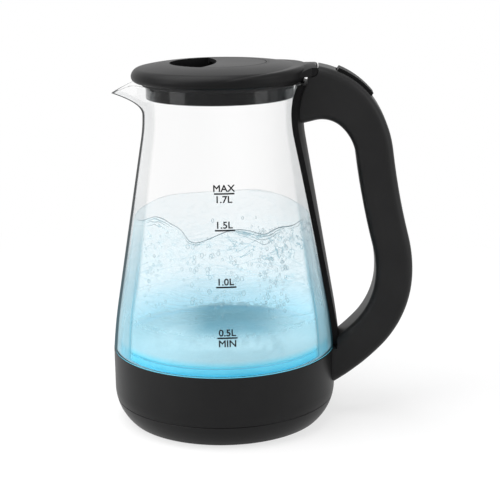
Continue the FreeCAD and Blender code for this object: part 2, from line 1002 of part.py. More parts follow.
def hinge_lug():
    # Eye for the lid's pin on a neck that leans back into the arm.
    eye = along_y(knuckle_radius - knuckle_skin - swing_gap, lug_half, 0, 0)
    neck = box(0, recess_radius + lug_root, -lug_half, lug_half, -lug_neck / 2, lug_neck / 2)
    neck.rotate(V(0, 0, 0), V(0, 1, 0), lug_lean)
    lug = fused(eye, neck).cut(along_y(hinge_pin_radius, lug_half, 0, 0))
    lug.translate(V(hinge_x, 0, hinge_z))
    return lug


def handle_halves():
    whole = rounded_handle().cut(jug_envelope())
    whole = whole.cut(handle_hollow())
    for tool in arm_screws(screw_play):
        whole = whole.cut(tool)
    whole = whole.cut(lead_tube(lead_radius + lead_play))
    inner_half = handle_width / 2 - handle_wall
    port_half = (inner_half - lug_half) / 2 - port_margin
    for side in (-1, 1):
        y = side * (inner_half + lug_half) / 2
        port = box(hinge_x, handle_front + handle_wall, y - port_half, y + port_half,
                   recess_floor - port_depth, hinge_z - knuckle_radius)
        whole = whole.cut(port)
    slot_half = rocker_length / 2 + rocker_end_gap
    side_half = rocker_half + rocker_side_gap
    slot = box(-slot_half, slot_half, -side_half, side_half, -stub_radius, 2 * rocker_pivot_depth)
    whole = whole.cut(at_rocker(slot))
    deep = handle_split()
    body = whole.common(deep)
    cover = whole.cut(deep)
    return fused(body, hinge_lug()), cover


def make_handle_spine():
    strip = turned(band_face(bond_gap, bond_gap + spine_wall, rim_height - lid_gap))
    wedge = Part.Face(Part.makePolygon([
        V(0, -spine_half_low, glass_low), V(0, spine_half_low, glass_low),
        V(0, spine_half_top, rim_height), V(0, -spine_half_top, rim_height),
        V(0, -spine_half_low, glass_low)]))
    strip = strip.common(wedge.extrude(V(2 * housing_radius, 0, 0)))
    for z in spine_screw_heights():
        x = spine_screw_x(z)
        strip = strip.cut(side_screw(x, 0, z, screw_play))
        strip = strip.cut(Part.makeCylinder(screw_head + screw_play, spine_wall, V(x, 0, z), V(-1, 0, 0)))
    return strip


def make_handle_screws():
    return group(arm_screws(0))


def make_lid_hinge_pin():
    return along_y(hinge_pin_radius, tail_half - pin_end, hinge_x, hinge_z)


# Switch, drawn about the rocker's pin

def lever_z():
    return -2 * arm_length


def steam_disc_z():
    return lever_z() - steam_disc_drop


def make_switch_rocker():
    centre, radius = rocker_arc()
    half = rocker_length / 2
    drop = radius - rocker_pivot_depth
    end = math.sqrt((radius + rocker_proud) ** 2 - half ** 2) - drop
    lean = math.degrees(math.asin(half / (radius + rocker_proud)))
    outline = Outline(-half, rocker_floor).line(-half, end)
    outline.head(lean).curve(half, end).line(half, rocker_floor)
    plate = slab(outline.face(), rocker_half)
    hub = along_y(stub_radius + stub_wall, rocker_half, 0, 0)
    stub = along_y(stub_radius, rocker_half + stub_length, 0, 0)
    arm = box(-tip_radius, tip_radius, -arm_half, arm_half, -arm_length, 2 * rocker_floor)
    tip = along_y(tip_radius, arm_half, 0, -arm_length)
    return at_rocker(fused(plate, hub, stub, arm, tip))


def make_trip_lever():
    # Forked lever: its prongs hold the rocker's arm and its pad lies over the steam disc.
    z = lever_z()
    hub = along_y(lever_hub, rocker_half, 0, z)
    stub = along_y(stub_radius, rocker_half + stub_length, 0, z)
    half = prong_wall / 2
    reach = tip_radius + swing_gap + half
    prongs = [box(side * reach - half, side * reach + half, -arm_half, arm_half, z, prong_rise - arm_length)
              for side in (-1, 1)]
    arm = box(-lever_reach, 0, -arm_half, arm_half, z - lever_wall / 2, z + lever_wall / 2)
    pad_x = -steam_disc_reach - pad_inset
    pad_half = arm_half - pad_inset
    pad = box(pad_x - pad_length / 2, pad_x + pad_length / 2, -pad_half, pad_half,
              z - lever_wall / 2 - pad_drop, z)
    return at_rocker(fused(hub, stub, arm, pad, *prongs))


def make_switch_body():
    inner = rocker_half + ceiling_gap
    outer = handle_width / 2 - handle_wall
    cheek_top = stub_radius + switch_cheek
    plate_top = steam_disc_z()
    plate_low_side = plate_top - switch_plate
    block = box(-switch_half, switch_half, -outer, outer, plate_low_side, cheek_top)
    gap = box(-switch_half, switch_half, -inner, inner, plate_top, cheek_top)
    plate = box(-switch_half - switch_wing, switch_half, -outer, outer, plate_low_side, plate_top)
    body = fused(block.cut(gap), plate)
    for z in (0, lever_z()):
        body = body.cut(along_y(stub_radius + pin_play, rocker_half + stub_length + swing_gap, 0, z))
    return at_rocker(body)


def make_steam_bimetal():
    z = steam_disc_z()
    return at_rocker(cylinder(steam_disc_radius, z, z + steam_disc_wall, -steam_disc_reach))


# Lid

def lid_section():
    # Low crown with a rounded edge and foot, and the round well for the fingers.
    outline = Outline(well_radius, lid_top).head(-lid_crown_angle)
    outline.curve(lid_radius - lid_edge_run, lid_top - lid_edge_drop)
    outline.curve(lid_radius, lid_edge_height)
    outline.head(-90).curve(lid_radius - lid_foot, lid_low)
    outline.line(lid_radius - 2 * lid_wall, lid_low)
    outline.line(lid_inside, lid_edge_height)
    outline.line(lid_radius - lid_edge_run - lid_wall, lid_inside_top)
    outline.line(well_radius + lid_wall, lid_top - lid_wall)
    outline.line(well_radius + lid_wall, well_floor - lid_wall)
    outline.line(0, well_floor - lid_wall)
    outline.line(0, well_floor)
    outline.line(well_radius, well_floor)
    return outline.face()


def lid_fairing():
    # Crescent that lifts the edge of the lid toward the hinge.
    drum = ring(well_radius + lid_wall, lid_radius, lid_edge_height, lid_top)
    under = polygon(
        (0, lid_low), (lid_radius, lid_low),
        (lid_radius, lid_low + fairing_back), (0, lid_low + fairing_front))
    crescent = drum.common(slab(under, lid_radius))
    rim = []
    for edge in crescent.Edges:
        middle = edge.valueAt((edge.FirstParameter + edge.LastParameter) / 2)
        outside = abs(math.hypot(middle.x, middle.y) - lid_radius) < 1e-6
        if outside and middle.x > rest_gap and middle.z > lid_edge_height + rest_gap:
            rim.append(edge)
    return crescent.makeFillet(fairing_edge, rim)


def tail_block():
    # Tongue at the back of the lid, crowned across and rounded about the hinge pin.
    root = math.radians(tail_root_angle)
    x0 = lid_radius * math.cos(root)
    y0 = lid_radius * math.sin(root)
    edge = tail_reach + tail_overlap
    inner = x0 - tail_overlap
    waist = tail_waist * (y0 - tail_half)
    edges = [Part.LineSegment(V(edge, tail_half, 0), V(edge, -tail_half, 0)),
             Part.LineSegment(V(inner, -y0, 0), V(inner, y0, 0))]
    for side in (-1, 1):
        edges.append(Part.LineSegment(V(inner, side * y0, 0), V(x0, side * y0, 0)))
        bend = V((x0 + hinge_x) / 2, side * ((y0 + tail_half) / 2 - waist), 0)
        edges.append(Part.Arc(V(x0, side * y0, 0), bend, V(hinge_x, side * tail_half, 0)))
        edges.append(Part.LineSegment(V(hinge_x, side * tail_half, 0), V(edge, side * tail_half, 0)))
    plan = Part.Wire(Part.__sortEdges__([edge.toShape() for edge in edges]))
    tongue = Part.Face(plan).extrude(V(0, 0, lid_top))
    side = Outline(inner, tail_low)
    side.line(hinge_x, tail_low)
    side.head(0).curve(tail_reach, hinge_z).curve(hinge_x, tail_top)
    side.line(inner, tail_top - tail_sink)
    tongue = tongue.common(slab(side.face(), lid_radius))
    crown = Part.makeCylinder(tail_crown, tail_reach * 2, V(0, 0, tail_top - tail_crown), V(1, 0, 0))
    return tongue.common(crown)


def make_lid_shell():
    shell = turned(lid_section())
    hollow = cylinder(lid_inside, 0, lid_inside_top)
    shell = fused(shell, lid_fairing().cut(hollow), tail_block().cut(hollow))
    shell = shell.cut(tail_notch(skirt_bottom, tail_low))
    room_top = hinge_z + knuckle_radius - knuckle_skin
    room_half = lug_half + swing_gap
    lug_room = box(lid_inside - swing_gap, 2 * tail_reach, -room_half, room_half, lid_low, room_top)
    shell = shell.cut(lug_room)
    shell = shell.cut(along_y(hinge_pin_radius + pin_play, tail_half - pin_end + rest_gap, hinge_x, hinge_z))
    boss = cylinder(boss_radius, skirt_bottom + lid_floor, lid_top - lid_wall, lid_boss_circle)
    ledge_top_side = lid_top - grip_wall
    ledge = ring(well_radius - grip_ledge, well_radius, ledge_top_side - ledge_height, ledge_top_side)
    ledge = ledge.cut(finger_lens())
    shell = fused(shell, ledge, *pattern(boss, screw_count, screw_turn))
    hole_top = skirt_bottom + lid_screw_length + screw_skin
    hole = cylinder(screw_radius + screw_play, skirt_bottom, hole_top, lid_boss_circle)
    for tool in pattern(hole, screw_count, screw_turn):
        shell = shell.cut(tool)
    return shell


def tail_notch(low, high):
    # Room for the handle's upper arm under the lid's tail.
    half = tail_half + tail_gap
    return box(lid_radius - notch_depth, 2 * tail_reach, -half, half, low, high)


def finger_lens():
    # Round cut that leaves a half-moon opening on the spout side.
    half = math.sqrt(well_radius ** 2 - grip_corner ** 2)
    depth = grip_front - grip_corner
    bend = (half ** 2 + depth ** 2) / (2 * depth)
    return cylinder(bend, well_floor, lid_top + grip_wall, grip_front - bend)


def make_lid_grip_plate():
    plate = cylinder(well_radius - grip_gap, lid_top - grip_wall, lid_top)
    return plate.cut(finger_lens())


def make_lid_inner():
    skirt = ring(skirt_radius - lid_wall, skirt_radius, skirt_bottom, lid_low)
    floor = cylinder(skirt_radius, skirt_bottom, skirt_bottom + lid_floor)
    flange_radius = lid_radius - 2 * lid_wall - rest_gap
    flange = ring(skirt_radius - lid_wall, flange_radius, lid_low, lid_low + skirt_flange)
    inner = fused(skirt, floor, flange)
    inner = inner.cut(tail_notch(lid_low, lid_low + skirt_flange))
    floor_top = skirt_bottom + lid_floor
    hole = screw_hole(skirt_bottom, floor_top, lid_boss_circle, skirt_bottom, skirt_bottom + head_height)
    for tool in pattern(hole, screw_count, screw_turn):
        inner = inner.cut(tool)
    half = steam_slot_width / 2
    for k in range(steam_slot_count):
        y = steam_slot_pitch * (k - (steam_slot_count - 1) / 2)
        end = steam_slot_reach + steam_slot_length
        slot = box(steam_slot_reach, end, y - half, y + half, skirt_bottom, floor_top)
        inner = inner.cut(slot)
    return inner


def make_lid_seal():
    return ring(skirt_radius, skirt_radius + seal_width, lid_low - seal_height, lid_low)


def make_lid_screws():
    one = screw(skirt_bottom, skirt_bottom + lid_screw_length, lid_boss_circle, skirt_bottom)
    return group(pattern(one, screw_count, screw_turn))


def main():
    os.makedirs("parts", exist_ok=True)
    save("base_shell", make_base_shell())
    save("base_bottom_cover", make_base_bottom_cover())
    save("base_feet", make_base_feet())
    save("base_screws", make_base_screws())
    save("base_socket", make_base_socket())
    save("socket_contacts", make_socket_contacts())
    save("socket_shutter", make_socket_shutter())
    save("connector_contacts", group(make_connector_contacts()))
    save("control_unit", make_control_unit())
    save("control_screws", make_control_screws())
    save("dry_boil_discs", make_dry_boil_discs())
    save("heat_diffuser", make_heat_diffuser())
    save("heater_element", make_heater_element())
    save("heater_plate", make_heater_plate())
    save("light_ring", make_light_ring())
    save("led_board", make_led_board())
    save("leds", make_leds())
    save("glass_seal", make_glass_seal())
    save("base_housing", make_base_housing())
    save("jug_bottom_cover", make_jug_bottom_cover())
    save("bottom_cover_screws", make_bottom_cover_screws())
    save("glass_jug", make_glass_jug())
    body, cover = handle_halves()
    save("handle_body", body)
    save("handle_cover", cover)
    save("handle_spine", make_handle_spine())
    save("handle_screws", make_handle_screws())
    save("handle_leads", lead_tube(lead_radius))
    save("lid_hinge_pin", make_lid_hinge_pin())
    save("switch_rocker", make_switch_rocker())
    save("trip_lever", make_trip_lever())
    save("switch_body", make_switch_body())
    save("steam_bimetal", make_steam_bimetal())
    save("lid_shell", make_lid_shell())
    save("lid_grip_plate", make_lid_grip_plate())
    save("lid_inner", make_lid_inner())
    save("lid_seal", make_lid_seal())
    save("lid_screws", make_lid_screws())
    print("jug axis", round(-middle_x, 3))
    print("lid hinge", round(hinge_x - middle_x, 3), round(hinge_z, 3))
    for z in (0, lever_z()):
        pivot = at_rocker(Part.Vertex(0, 0, z)).Point
        print("switch pivot", round(pivot.x - middle_x, 3), round(pivot.z, 3))


main()
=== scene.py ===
import json
import math

import bmesh
import bpy
from mathutils import Matrix, Vector


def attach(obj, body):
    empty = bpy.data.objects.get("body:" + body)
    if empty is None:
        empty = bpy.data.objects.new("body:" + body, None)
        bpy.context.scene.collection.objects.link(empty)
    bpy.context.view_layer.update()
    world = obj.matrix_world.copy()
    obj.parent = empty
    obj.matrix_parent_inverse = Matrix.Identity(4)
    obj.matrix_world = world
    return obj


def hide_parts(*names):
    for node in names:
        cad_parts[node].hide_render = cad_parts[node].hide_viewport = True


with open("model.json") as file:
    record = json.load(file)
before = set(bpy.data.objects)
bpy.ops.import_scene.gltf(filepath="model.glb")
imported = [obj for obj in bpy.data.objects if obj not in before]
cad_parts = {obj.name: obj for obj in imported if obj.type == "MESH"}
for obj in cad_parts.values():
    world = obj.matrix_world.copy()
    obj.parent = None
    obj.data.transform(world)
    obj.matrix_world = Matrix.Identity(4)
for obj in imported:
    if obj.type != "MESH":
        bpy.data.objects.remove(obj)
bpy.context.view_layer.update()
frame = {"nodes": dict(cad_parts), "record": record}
scene = bpy.context.scene
mm = 0.001
axisX = -26.5  # the jug's axis, in mm along X
mergeDistance = 1e-7
print("frame loaded:", len(frame["nodes"]), "nodes")


# node trees

class Value:
    # a node's output; Python's operators add Math nodes to its tree
    def __init__(self, maker, socket):
        self.maker = maker
        self.socket = socket

    def math(self, operation, *others, flip=False):
        parts = [self, *others]
        if flip:
            parts.reverse()
        return self.maker.add("ShaderNodeMath", {"operation": operation}, dict(enumerate(parts)))

    def __add__(self, other):
        return self.math("ADD", other)

    def __sub__(self, other):
        return self.math("SUBTRACT", other)

    def __rsub__(self, other):
        return self.math("SUBTRACT", other, flip=True)

    def __mul__(self, other):
        return self.math("MULTIPLY", other)

    __radd__ = __add__
    __rmul__ = __mul__

    def ramp(self, low, high):
        # 0 below low, 1 above high, smooth between
        sockets = {"Value": self, "From Min": low, "From Max": high}
        return self.maker.add("ShaderNodeMapRange", {"interpolation_type": "SMOOTHSTEP"}, sockets)

    def bell(self, middle, width):
        # 1 at the middle, falling off smoothly on both sides
        return 1 - (self - middle).math("ABSOLUTE").ramp(0.0, width)


class Maker:
    def __init__(self, tree):
        self.tree = tree

    def add(self, kind, settings=None, sockets=None, out=0):
        node = self.tree.nodes.new(kind)
        for key, value in (settings or {}).items():
            setattr(node, key, value)
        for key, value in (sockets or {}).items():
            if isinstance(value, Value):
                self.tree.links.new(value.socket, node.inputs[key])
            else:
                node.inputs[key].default_value = value
        return Value(self, node.outputs[out])


class Finish(Maker):
    # one material
    def __init__(self, name):
        self.material = bpy.data.materials.new(name)
        self.material.use_nodes = True
        super().__init__(self.material.node_tree)
        self.tree.nodes.clear()

    def place(self, scale=(1, 1, 1)):
        spot = self.add("ShaderNodeTexCoord", out="Object")
        return self.add("ShaderNodeMapping", {}, {"Vector": spot, "Scale": scale})

    def along(self, axis):
        spot = self.add("ShaderNodeTexCoord", out="Object")
        return self.add("ShaderNodeSeparateXYZ", {}, {"Vector": spot}, out=axis)

    def radius(self):
        # distance from the jug's axis
        x, y = self.along("X") - axisX * mm, self.along("Y")
        return (x * x + y * y).math("SQRT")

    def normal(self, axis):
        # the surface's own direction, whichever side is looked at
        spot = self.add("ShaderNodeTexCoord", out="Normal")
        part = self.add("ShaderNodeSeparateXYZ", {}, {"Vector": spot}, out=axis)
        return part * (1 - self.back() * 2.0)

    def back(self):
        # 1 where a surface is seen from its inner side
        return self.add("ShaderNodeNewGeometry", out="Backfacing")

    def facing(self):
        return self.add("ShaderNodeLayerWeight", {}, {"Blend": 0.5}, out="Facing")

    def noise(self, scale, detail=3.0, stretch=(1, 1, 1), bend=0.0):
        sockets = {"Vector": self.place(stretch), "Scale": scale, "Detail": detail, "Distortion": bend}
        return self.add("ShaderNodeTexNoise", {}, sockets)

    def tint(self, share, first, second):
        first, second = [c if isinstance(c, Value) else (*c, 1.0) for c in (first, second)]
        return self.add("ShaderNodeMix", {"data_type": "RGBA"}, {0: share, 6: first, 7: second}, out=2)

    def bump(self, height, distance, strength=1.0):
        return self.add("ShaderNodeBump", {}, {"Height": height, "Distance": distance, "Strength": strength})

    def surface(self, **sockets):
        names = {"base": "Base Color", "rough": "Roughness", "metal": "Metallic", "normal": "Normal",
                 "alpha": "Alpha", "ior": "IOR", "specular": "Specular IOR Level",
                 "glow": "Emission Color", "glowStrength": "Emission Strength"}
        shader = self.add("ShaderNodeBsdfPrincipled", {}, {names[k]: v for k, v in sockets.items()})
        return self.show(shader)

    def show(self, shader):
        self.tree.links.new(shader.socket, self.tree.nodes.new("ShaderNodeOutputMaterial").inputs["Surface"])
        return self.material


# finishes of the CAD pieces

wear = {"handlingScale": 28.0, "wornRange": (0.35, 0.7), "grainRough": 0.08, "ior": 1.47}
lidSeam = {"width": 0.0005, "colour": (0.001, 0.001, 0.001), "rough": 0.5, "depth": 0.0004}


def mouldedPlastic(name, look):
    f = Finish(name)
    grain = f.noise(look["grainScale"], 2.0)
    handling = f.noise(wear["handlingScale"], 4.0)
    base = f.tint(handling.ramp(*wear["wornRange"]), look["base"], look["worn"])
    rough = look["rough"] + (handling - 0.5) * look["roughSpread"] + (grain - 0.5) * wear["grainRough"]
    height = grain * look["grainDepth"]
    if "seamRadius" in look:
        # fine ring on the lid round the finger recess
        seam = f.radius().bell(look["seamRadius"], lidSeam["width"])
        base = f.tint(seam, base, lidSeam["colour"])
        rough = rough + seam * lidSeam["rough"]
        height = height - seam * lidSeam["depth"]
    normal = f.bump(height, 1.0)
    return f.surface(base=base, rough=rough, normal=normal, ior=wear["ior"], specular=look["specular"])


tarnish = {"scale": 60.0, "range": (0.45, 0.75), "scratchRough": 0.18, "stainRough": 0.12}


def brushedMetal(name, look):
    f = Finish(name)
    scratch = f.noise(look["scratchScale"], 3.0, look["stretch"])
    stain = f.noise(tarnish["scale"], 4.0)
    base = f.tint(stain.ramp(*tarnish["range"]), look["base"], look["stain"])
    rough = look["rough"] + (scratch - 0.5) * tarnish["scratchRough"] + (stain - 0.5) * tarnish["stainRough"]
    normal = f.bump(scratch, look["scratchDepth"])
    return f.surface(base=base, rough=rough, metal=1.0, normal=normal)


def turnedSteel(name, look):
    # fine rings about the jug's axis, as spinning leaves them
    f = Finish(name)
    rings = f.add("ShaderNodeTexNoise", {"noise_dimensions": "1D"},
                  {"W": f.radius(), "Scale": look["ringScale"], "Detail": 2.0})
    scale = f.noise(look["filmScale"], 5.0)
    film = scale.ramp(*look["filmRange"]) * look["film"]
    base = f.tint(film, look["base"], look["chalk"])
    rough = look["rough"] + (rings - 0.5) * look["ringRough"] + film * look["filmRough"]
    metal = 1.0 - film * look["filmDulls"]
    return f.surface(base=base, rough=rough, metal=metal, normal=f.bump(rings, look["ringDepth"]))


glowCloud = {"scale": 90.0, "rough": 0.1}


def litPlastic(name, look):
    f = Finish(name)
    cloud = f.noise(glowCloud["scale"], 3.0)
    base = f.tint(cloud, look["base"], look["deep"])
    glow = f.tint(cloud, look["glow"], look["glowDeep"])
    rough = look["rough"] + (cloud - 0.5) * glowCloud["rough"]
    return f.surface(base=base, rough=rough, glow=glow, glowStrength=look["strength"])


plasticLooks = {
    "black_plastic": {"base": (0.0075, 0.0075, 0.0078), "worn": (0.0095, 0.0095, 0.0098), "rough": 0.40,
                      "roughSpread": 0.10, "grainScale": 1500.0, "grainDepth": 0.000012, "specular": 0.16},
    "handle_plastic": {"base": (0.0085, 0.0085, 0.0088), "worn": (0.0110, 0.0110, 0.0113), "rough": 0.42,
                       "roughSpread": 0.12, "grainScale": 1400.0, "grainDepth": 0.000014, "specular": 0.18},
    "spine_plastic": {"base": (0.005, 0.005, 0.0052), "worn": (0.007, 0.007, 0.0072), "rough": 0.44,
                      "roughSpread": 0.08, "grainScale": 1500.0, "grainDepth": 0.000008, "specular": 0.06},
    "lid_plastic": {"base": (0.0055, 0.0055, 0.0058), "worn": (0.0075, 0.0075, 0.0078), "rough": 0.40,
                    "roughSpread": 0.10, "grainScale": 1500.0, "grainDepth": 0.000012, "specular": 0.11,
                    "seamRadius": 0.0315},
    "rocker_plastic": {"base": (0.006, 0.006, 0.0063), "worn": (0.008, 0.008, 0.0083), "rough": 0.46,
                       "roughSpread": 0.08, "grainScale": 1600.0, "grainDepth": 0.000008, "specular": 0.05},
    "gloss_black": {"base": (0.003, 0.003, 0.0032), "worn": (0.004, 0.004, 0.0042), "rough": 0.10,
                    "roughSpread": 0.04, "grainScale": 700.0, "grainDepth": 0.000003, "specular": 0.22},
    "socket_plastic": {"base": (0.016, 0.016, 0.017), "worn": (0.022, 0.022, 0.023), "rough": 0.40,
                       "roughSpread": 0.10, "grainScale": 1300.0, "grainDepth": 0.000010, "specular": 0.30},
    "control_plastic": {"base": (0.72, 0.71, 0.67), "worn": (0.62, 0.60, 0.55), "rough": 0.45,
                        "roughSpread": 0.10, "grainScale": 1300.0, "grainDepth": 0.000010, "specular": 0.40},
    "rubber_foot": {"base": (0.022, 0.022, 0.022), "worn": (0.034, 0.033, 0.032), "rough": 0.78,
                    "roughSpread": 0.10, "grainScale": 900.0, "grainDepth": 0.00003, "specular": 0.25},
    "dark_silicone": {"base": (0.012, 0.012, 0.013), "worn": (0.018, 0.018, 0.019), "rough": 0.55,
                      "roughSpread": 0.10, "grainScale": 900.0, "grainDepth": 0.00001, "specular": 0.25},
    "board": {"base": (0.05, 0.22, 0.10), "worn": (0.07, 0.26, 0.13), "rough": 0.40,
              "roughSpread": 0.10, "grainScale": 900.0, "grainDepth": 0.00001, "specular": 0.40},
    "lead_sleeve": {"base": (0.45, 0.08, 0.06), "worn": (0.36, 0.07, 0.05), "rough": 0.5,
                    "roughSpread": 0.10, "grainScale": 900.0, "grainDepth": 0.00002, "specular": 0.35},
}
metalLooks = {
    "aluminium_disc": {"base": (0.70, 0.71, 0.72), "stain": (0.55, 0.56, 0.57), "rough": 0.42,
                       "scratchScale": 300.0, "stretch": (1, 6, 1), "scratchDepth": 0.00003},
    "element_sheath": {"base": (0.62, 0.61, 0.59), "stain": (0.42, 0.38, 0.34), "rough": 0.45,
                       "scratchScale": 260.0, "stretch": (1, 1, 5), "scratchDepth": 0.00003},
    "contact_brass": {"base": (0.75, 0.55, 0.25), "stain": (0.55, 0.37, 0.17), "rough": 0.34,
                      "scratchScale": 420.0, "stretch": (1, 1, 6), "scratchDepth": 0.00002},
    "bimetal": {"base": (0.66, 0.60, 0.52), "stain": (0.48, 0.43, 0.38), "rough": 0.38,
                "scratchScale": 420.0, "stretch": (5, 1, 1), "scratchDepth": 0.00002},
    "screw_steel": {"base": (0.60, 0.60, 0.62), "stain": (0.44, 0.44, 0.46), "rough": 0.33,
                    "scratchScale": 520.0, "stretch": (1, 1, 4), "scratchDepth": 0.00002},
}
steelLook = {"base": (0.66, 0.67, 0.68), "chalk": (0.80, 0.80, 0.78), "rough": 0.27, "film": 0.35,
             "ringScale": 2600.0, "ringRough": 0.2, "ringDepth": 0.00002,
             "filmScale": 110.0, "filmRange": (0.5, 0.72), "filmRough": 0.3, "filmDulls": 0.6}
lightLooks = {
    # the silicone's glow is painted light from the light ring; the light ring and the lamp glow as lamps
    "silicone": {"base": (0.13, 0.47, 0.59), "deep": (0.10, 0.41, 0.53), "glow": (0.05, 0.42, 0.60),
                 "glowDeep": (0.03, 0.35, 0.53), "rough": 0.5, "strength": 0.6},
    "light_ring": {"base": (0.30, 0.62, 0.72), "deep": (0.20, 0.52, 0.66), "glow": (0.05, 0.55, 0.95),
                   "glowDeep": (0.03, 0.42, 0.85), "rough": 0.35, "strength": 1.3},
    "lamp": {"base": (0.70, 0.85, 0.90), "deep": (0.55, 0.75, 0.85), "glow": (0.15, 0.70, 1.0),
             "glowDeep": (0.08, 0.55, 1.0), "rough": 0.25, "strength": 2.5},
}

finishes = {}
for slotName, look in plasticLooks.items():
    finishes[slotName] = mouldedPlastic(slotName, look)
for slotName, look in metalLooks.items():
    finishes[slotName] = brushedMetal(slotName, look)
for slotName, look in lightLooks.items():
    finishes[slotName] = litPlastic(slotName, look)
finishes["steel_plate"] = turnedSteel("steel_plate", steelLook)
print("finishes made:", len(finishes))


# the glass

glass = {
    "footRadius": 77.1, "footLow": 51.6, "shoulderRadius": 73.2, "shoulderHeight": 83.0,
    "neckRadius": 52.4, "neckHeight": 213.2, "neckBlend": 95.0, "rimFlare": 4.9, "rimHeight": 234.4,
    "wall": 2.8, "spoutReach": 19.8, "spoutRise": 14.3, "spoutHalfAngle": 45.0, "spoutSharpness": 4,
    "lipRun": 16.4, "rimRound": 1.2, "lipRound": 0.4,
    "around": 360, "wallRows": 64, "collarRows": 24, "rimRows": 7, "halvings": 40,
}


def coneTop():
    # where the straight cone meets the rounded neck
    reachX = glass["neckRadius"] + glass["neckBlend"] - glass["shoulderRadius"]
    reachZ = glass["neckHeight"] - glass["shoulderHeight"]
    reach = math.hypot(reachX, reachZ)
    run = math.sqrt(reach ** 2 - glass["neckBlend"] ** 2)
    angle = math.atan2(reachZ, reachX) + math.asin(glass["neckBlend"] / reach)
    return glass["shoulderRadius"] + run * math.cos(angle), glass["shoulderHeight"] + run * math.sin(angle)


def arcOut(z, centreX, centreZ, radius):
    return centreX - math.sqrt(radius ** 2 - (z - centreZ) ** 2)


def jugRadius(z):
    # outer radius of the jug, away from the spout
    coneX, coneZ = coneTop()
    shoulderX, shoulderZ = glass["shoulderRadius"], glass["shoulderHeight"]
    if z > glass["neckHeight"]:
        rise = glass["rimHeight"] - glass["neckHeight"]
        bend = (rise ** 2 + glass["rimFlare"] ** 2) / (2 * glass["rimFlare"])
        return arcOut(z, glass["neckRadius"] + bend, glass["neckHeight"], bend)
    if z > coneZ:
        return arcOut(z, glass["neckRadius"] + glass["neckBlend"], glass["neckHeight"], glass["neckBlend"])
    if z > shoulderZ:
        return shoulderX + (coneX - shoulderX) * (z - shoulderZ) / (coneZ - shoulderZ)
    # foot: an arc that leaves the cone's line
    heading = Vector((shoulderX - coneX, shoulderZ - coneZ)).normalized()
    side = Vector((-heading.y, heading.x))
    chord = Vector((glass["footRadius"] - shoulderX, glass["footLow"] - shoulderZ))
    swing = chord.length_squared / (2 * side.dot(chord))
    centre = Vector((shoulderX, shoulderZ)) + side * swing
    return centre.x - math.copysign(math.sqrt(swing ** 2 - (z - centre.y) ** 2), swing)


def spoutPull(turn, z):
    # how far the lip is drawn out on the spout side
    off = abs((math.degrees(turn) % 360) - 180)
    if off >= glass["spoutHalfAngle"] or z <= glass["neckHeight"]:
        return 0.0
    share = ((1 + math.cos(math.pi * off / glass["spoutHalfAngle"])) / 2) ** glass["spoutSharpness"]
    return share * glass["spoutReach"] * ((z - glass["neckHeight"]) / glass["spoutRise"]) ** 2


def wallRadius(turn, z, inside):
    if inside:
        return jugRadius(z) - glass["wall"] + spoutPull(turn, z - glass["wall"])
    return jugRadius(z) + spoutPull(turn, z)


def rimLevel(turn, inside):
    # height of the cut rim, which falls towards the tip of the spout
    spoutHeight = glass["neckHeight"] + glass["spoutRise"]
    fall = (glass["rimHeight"] - spoutHeight) / glass["lipRun"]
    tip = jugRadius(spoutHeight) + glass["spoutReach"]
    low, high = glass["neckHeight"], glass["rimHeight"]
    for halving in range(glass["halvings"]):
        z = (low + high) / 2
        x = wallRadius(turn, z, inside) * math.cos(turn)
        cut = glass["rimHeight"] - fall * max(0.0, glass["lipRun"] - tip - x)
        if z < cut:
            low = z
        else:
            high = z
    return low


def rimRounding(turn):
    # the rim's edge is rounded less on the lip of the spout
    share = min(1.0, abs((math.degrees(turn) % 360) - 180) / glass["spoutHalfAngle"])
    return glass["lipRound"] + (glass["rimRound"] - glass["lipRound"]) * share ** 2


def jugPoint(turn, radius, z):
    return Vector(((axisX + radius * math.cos(turn)) * mm, radius * math.sin(turn) * mm, z * mm))


def meshPiece(name, points, faces, material, smooth=True):
    mesh = bpy.data.meshes.new(name)
    mesh.from_pydata([tuple(p) for p in points], [], faces)
    piece = bpy.data.objects.new(name, mesh)
    scene.collection.objects.link(piece)
    return finishPiece(piece, material, smooth)


def finishPiece(piece, material, smooth=True):
    # merge doubles, turn the faces outward, shade
    work = bmesh.new()
    work.from_mesh(piece.data)
    bmesh.ops.remove_doubles(work, verts=work.verts, dist=mergeDistance)
    bmesh.ops.recalc_face_normals(work, faces=work.faces)
    work.to_mesh(piece.data)
    work.free()
    for face in piece.data.polygons:
        face.use_smooth = smooth
    piece.data.materials.clear()
    piece.data.materials.append(material)
    return piece


def ringGrid(rows, around):
    # faces of a closed band of rows, each with the same count around
    faces = []
    for r in range(rows):
        for a in range(around):
            b, s = (a + 1) % around, (r + 1) % rows
            faces.append((r * around + a, r * around + b, s * around + b, s * around + a))
    return faces


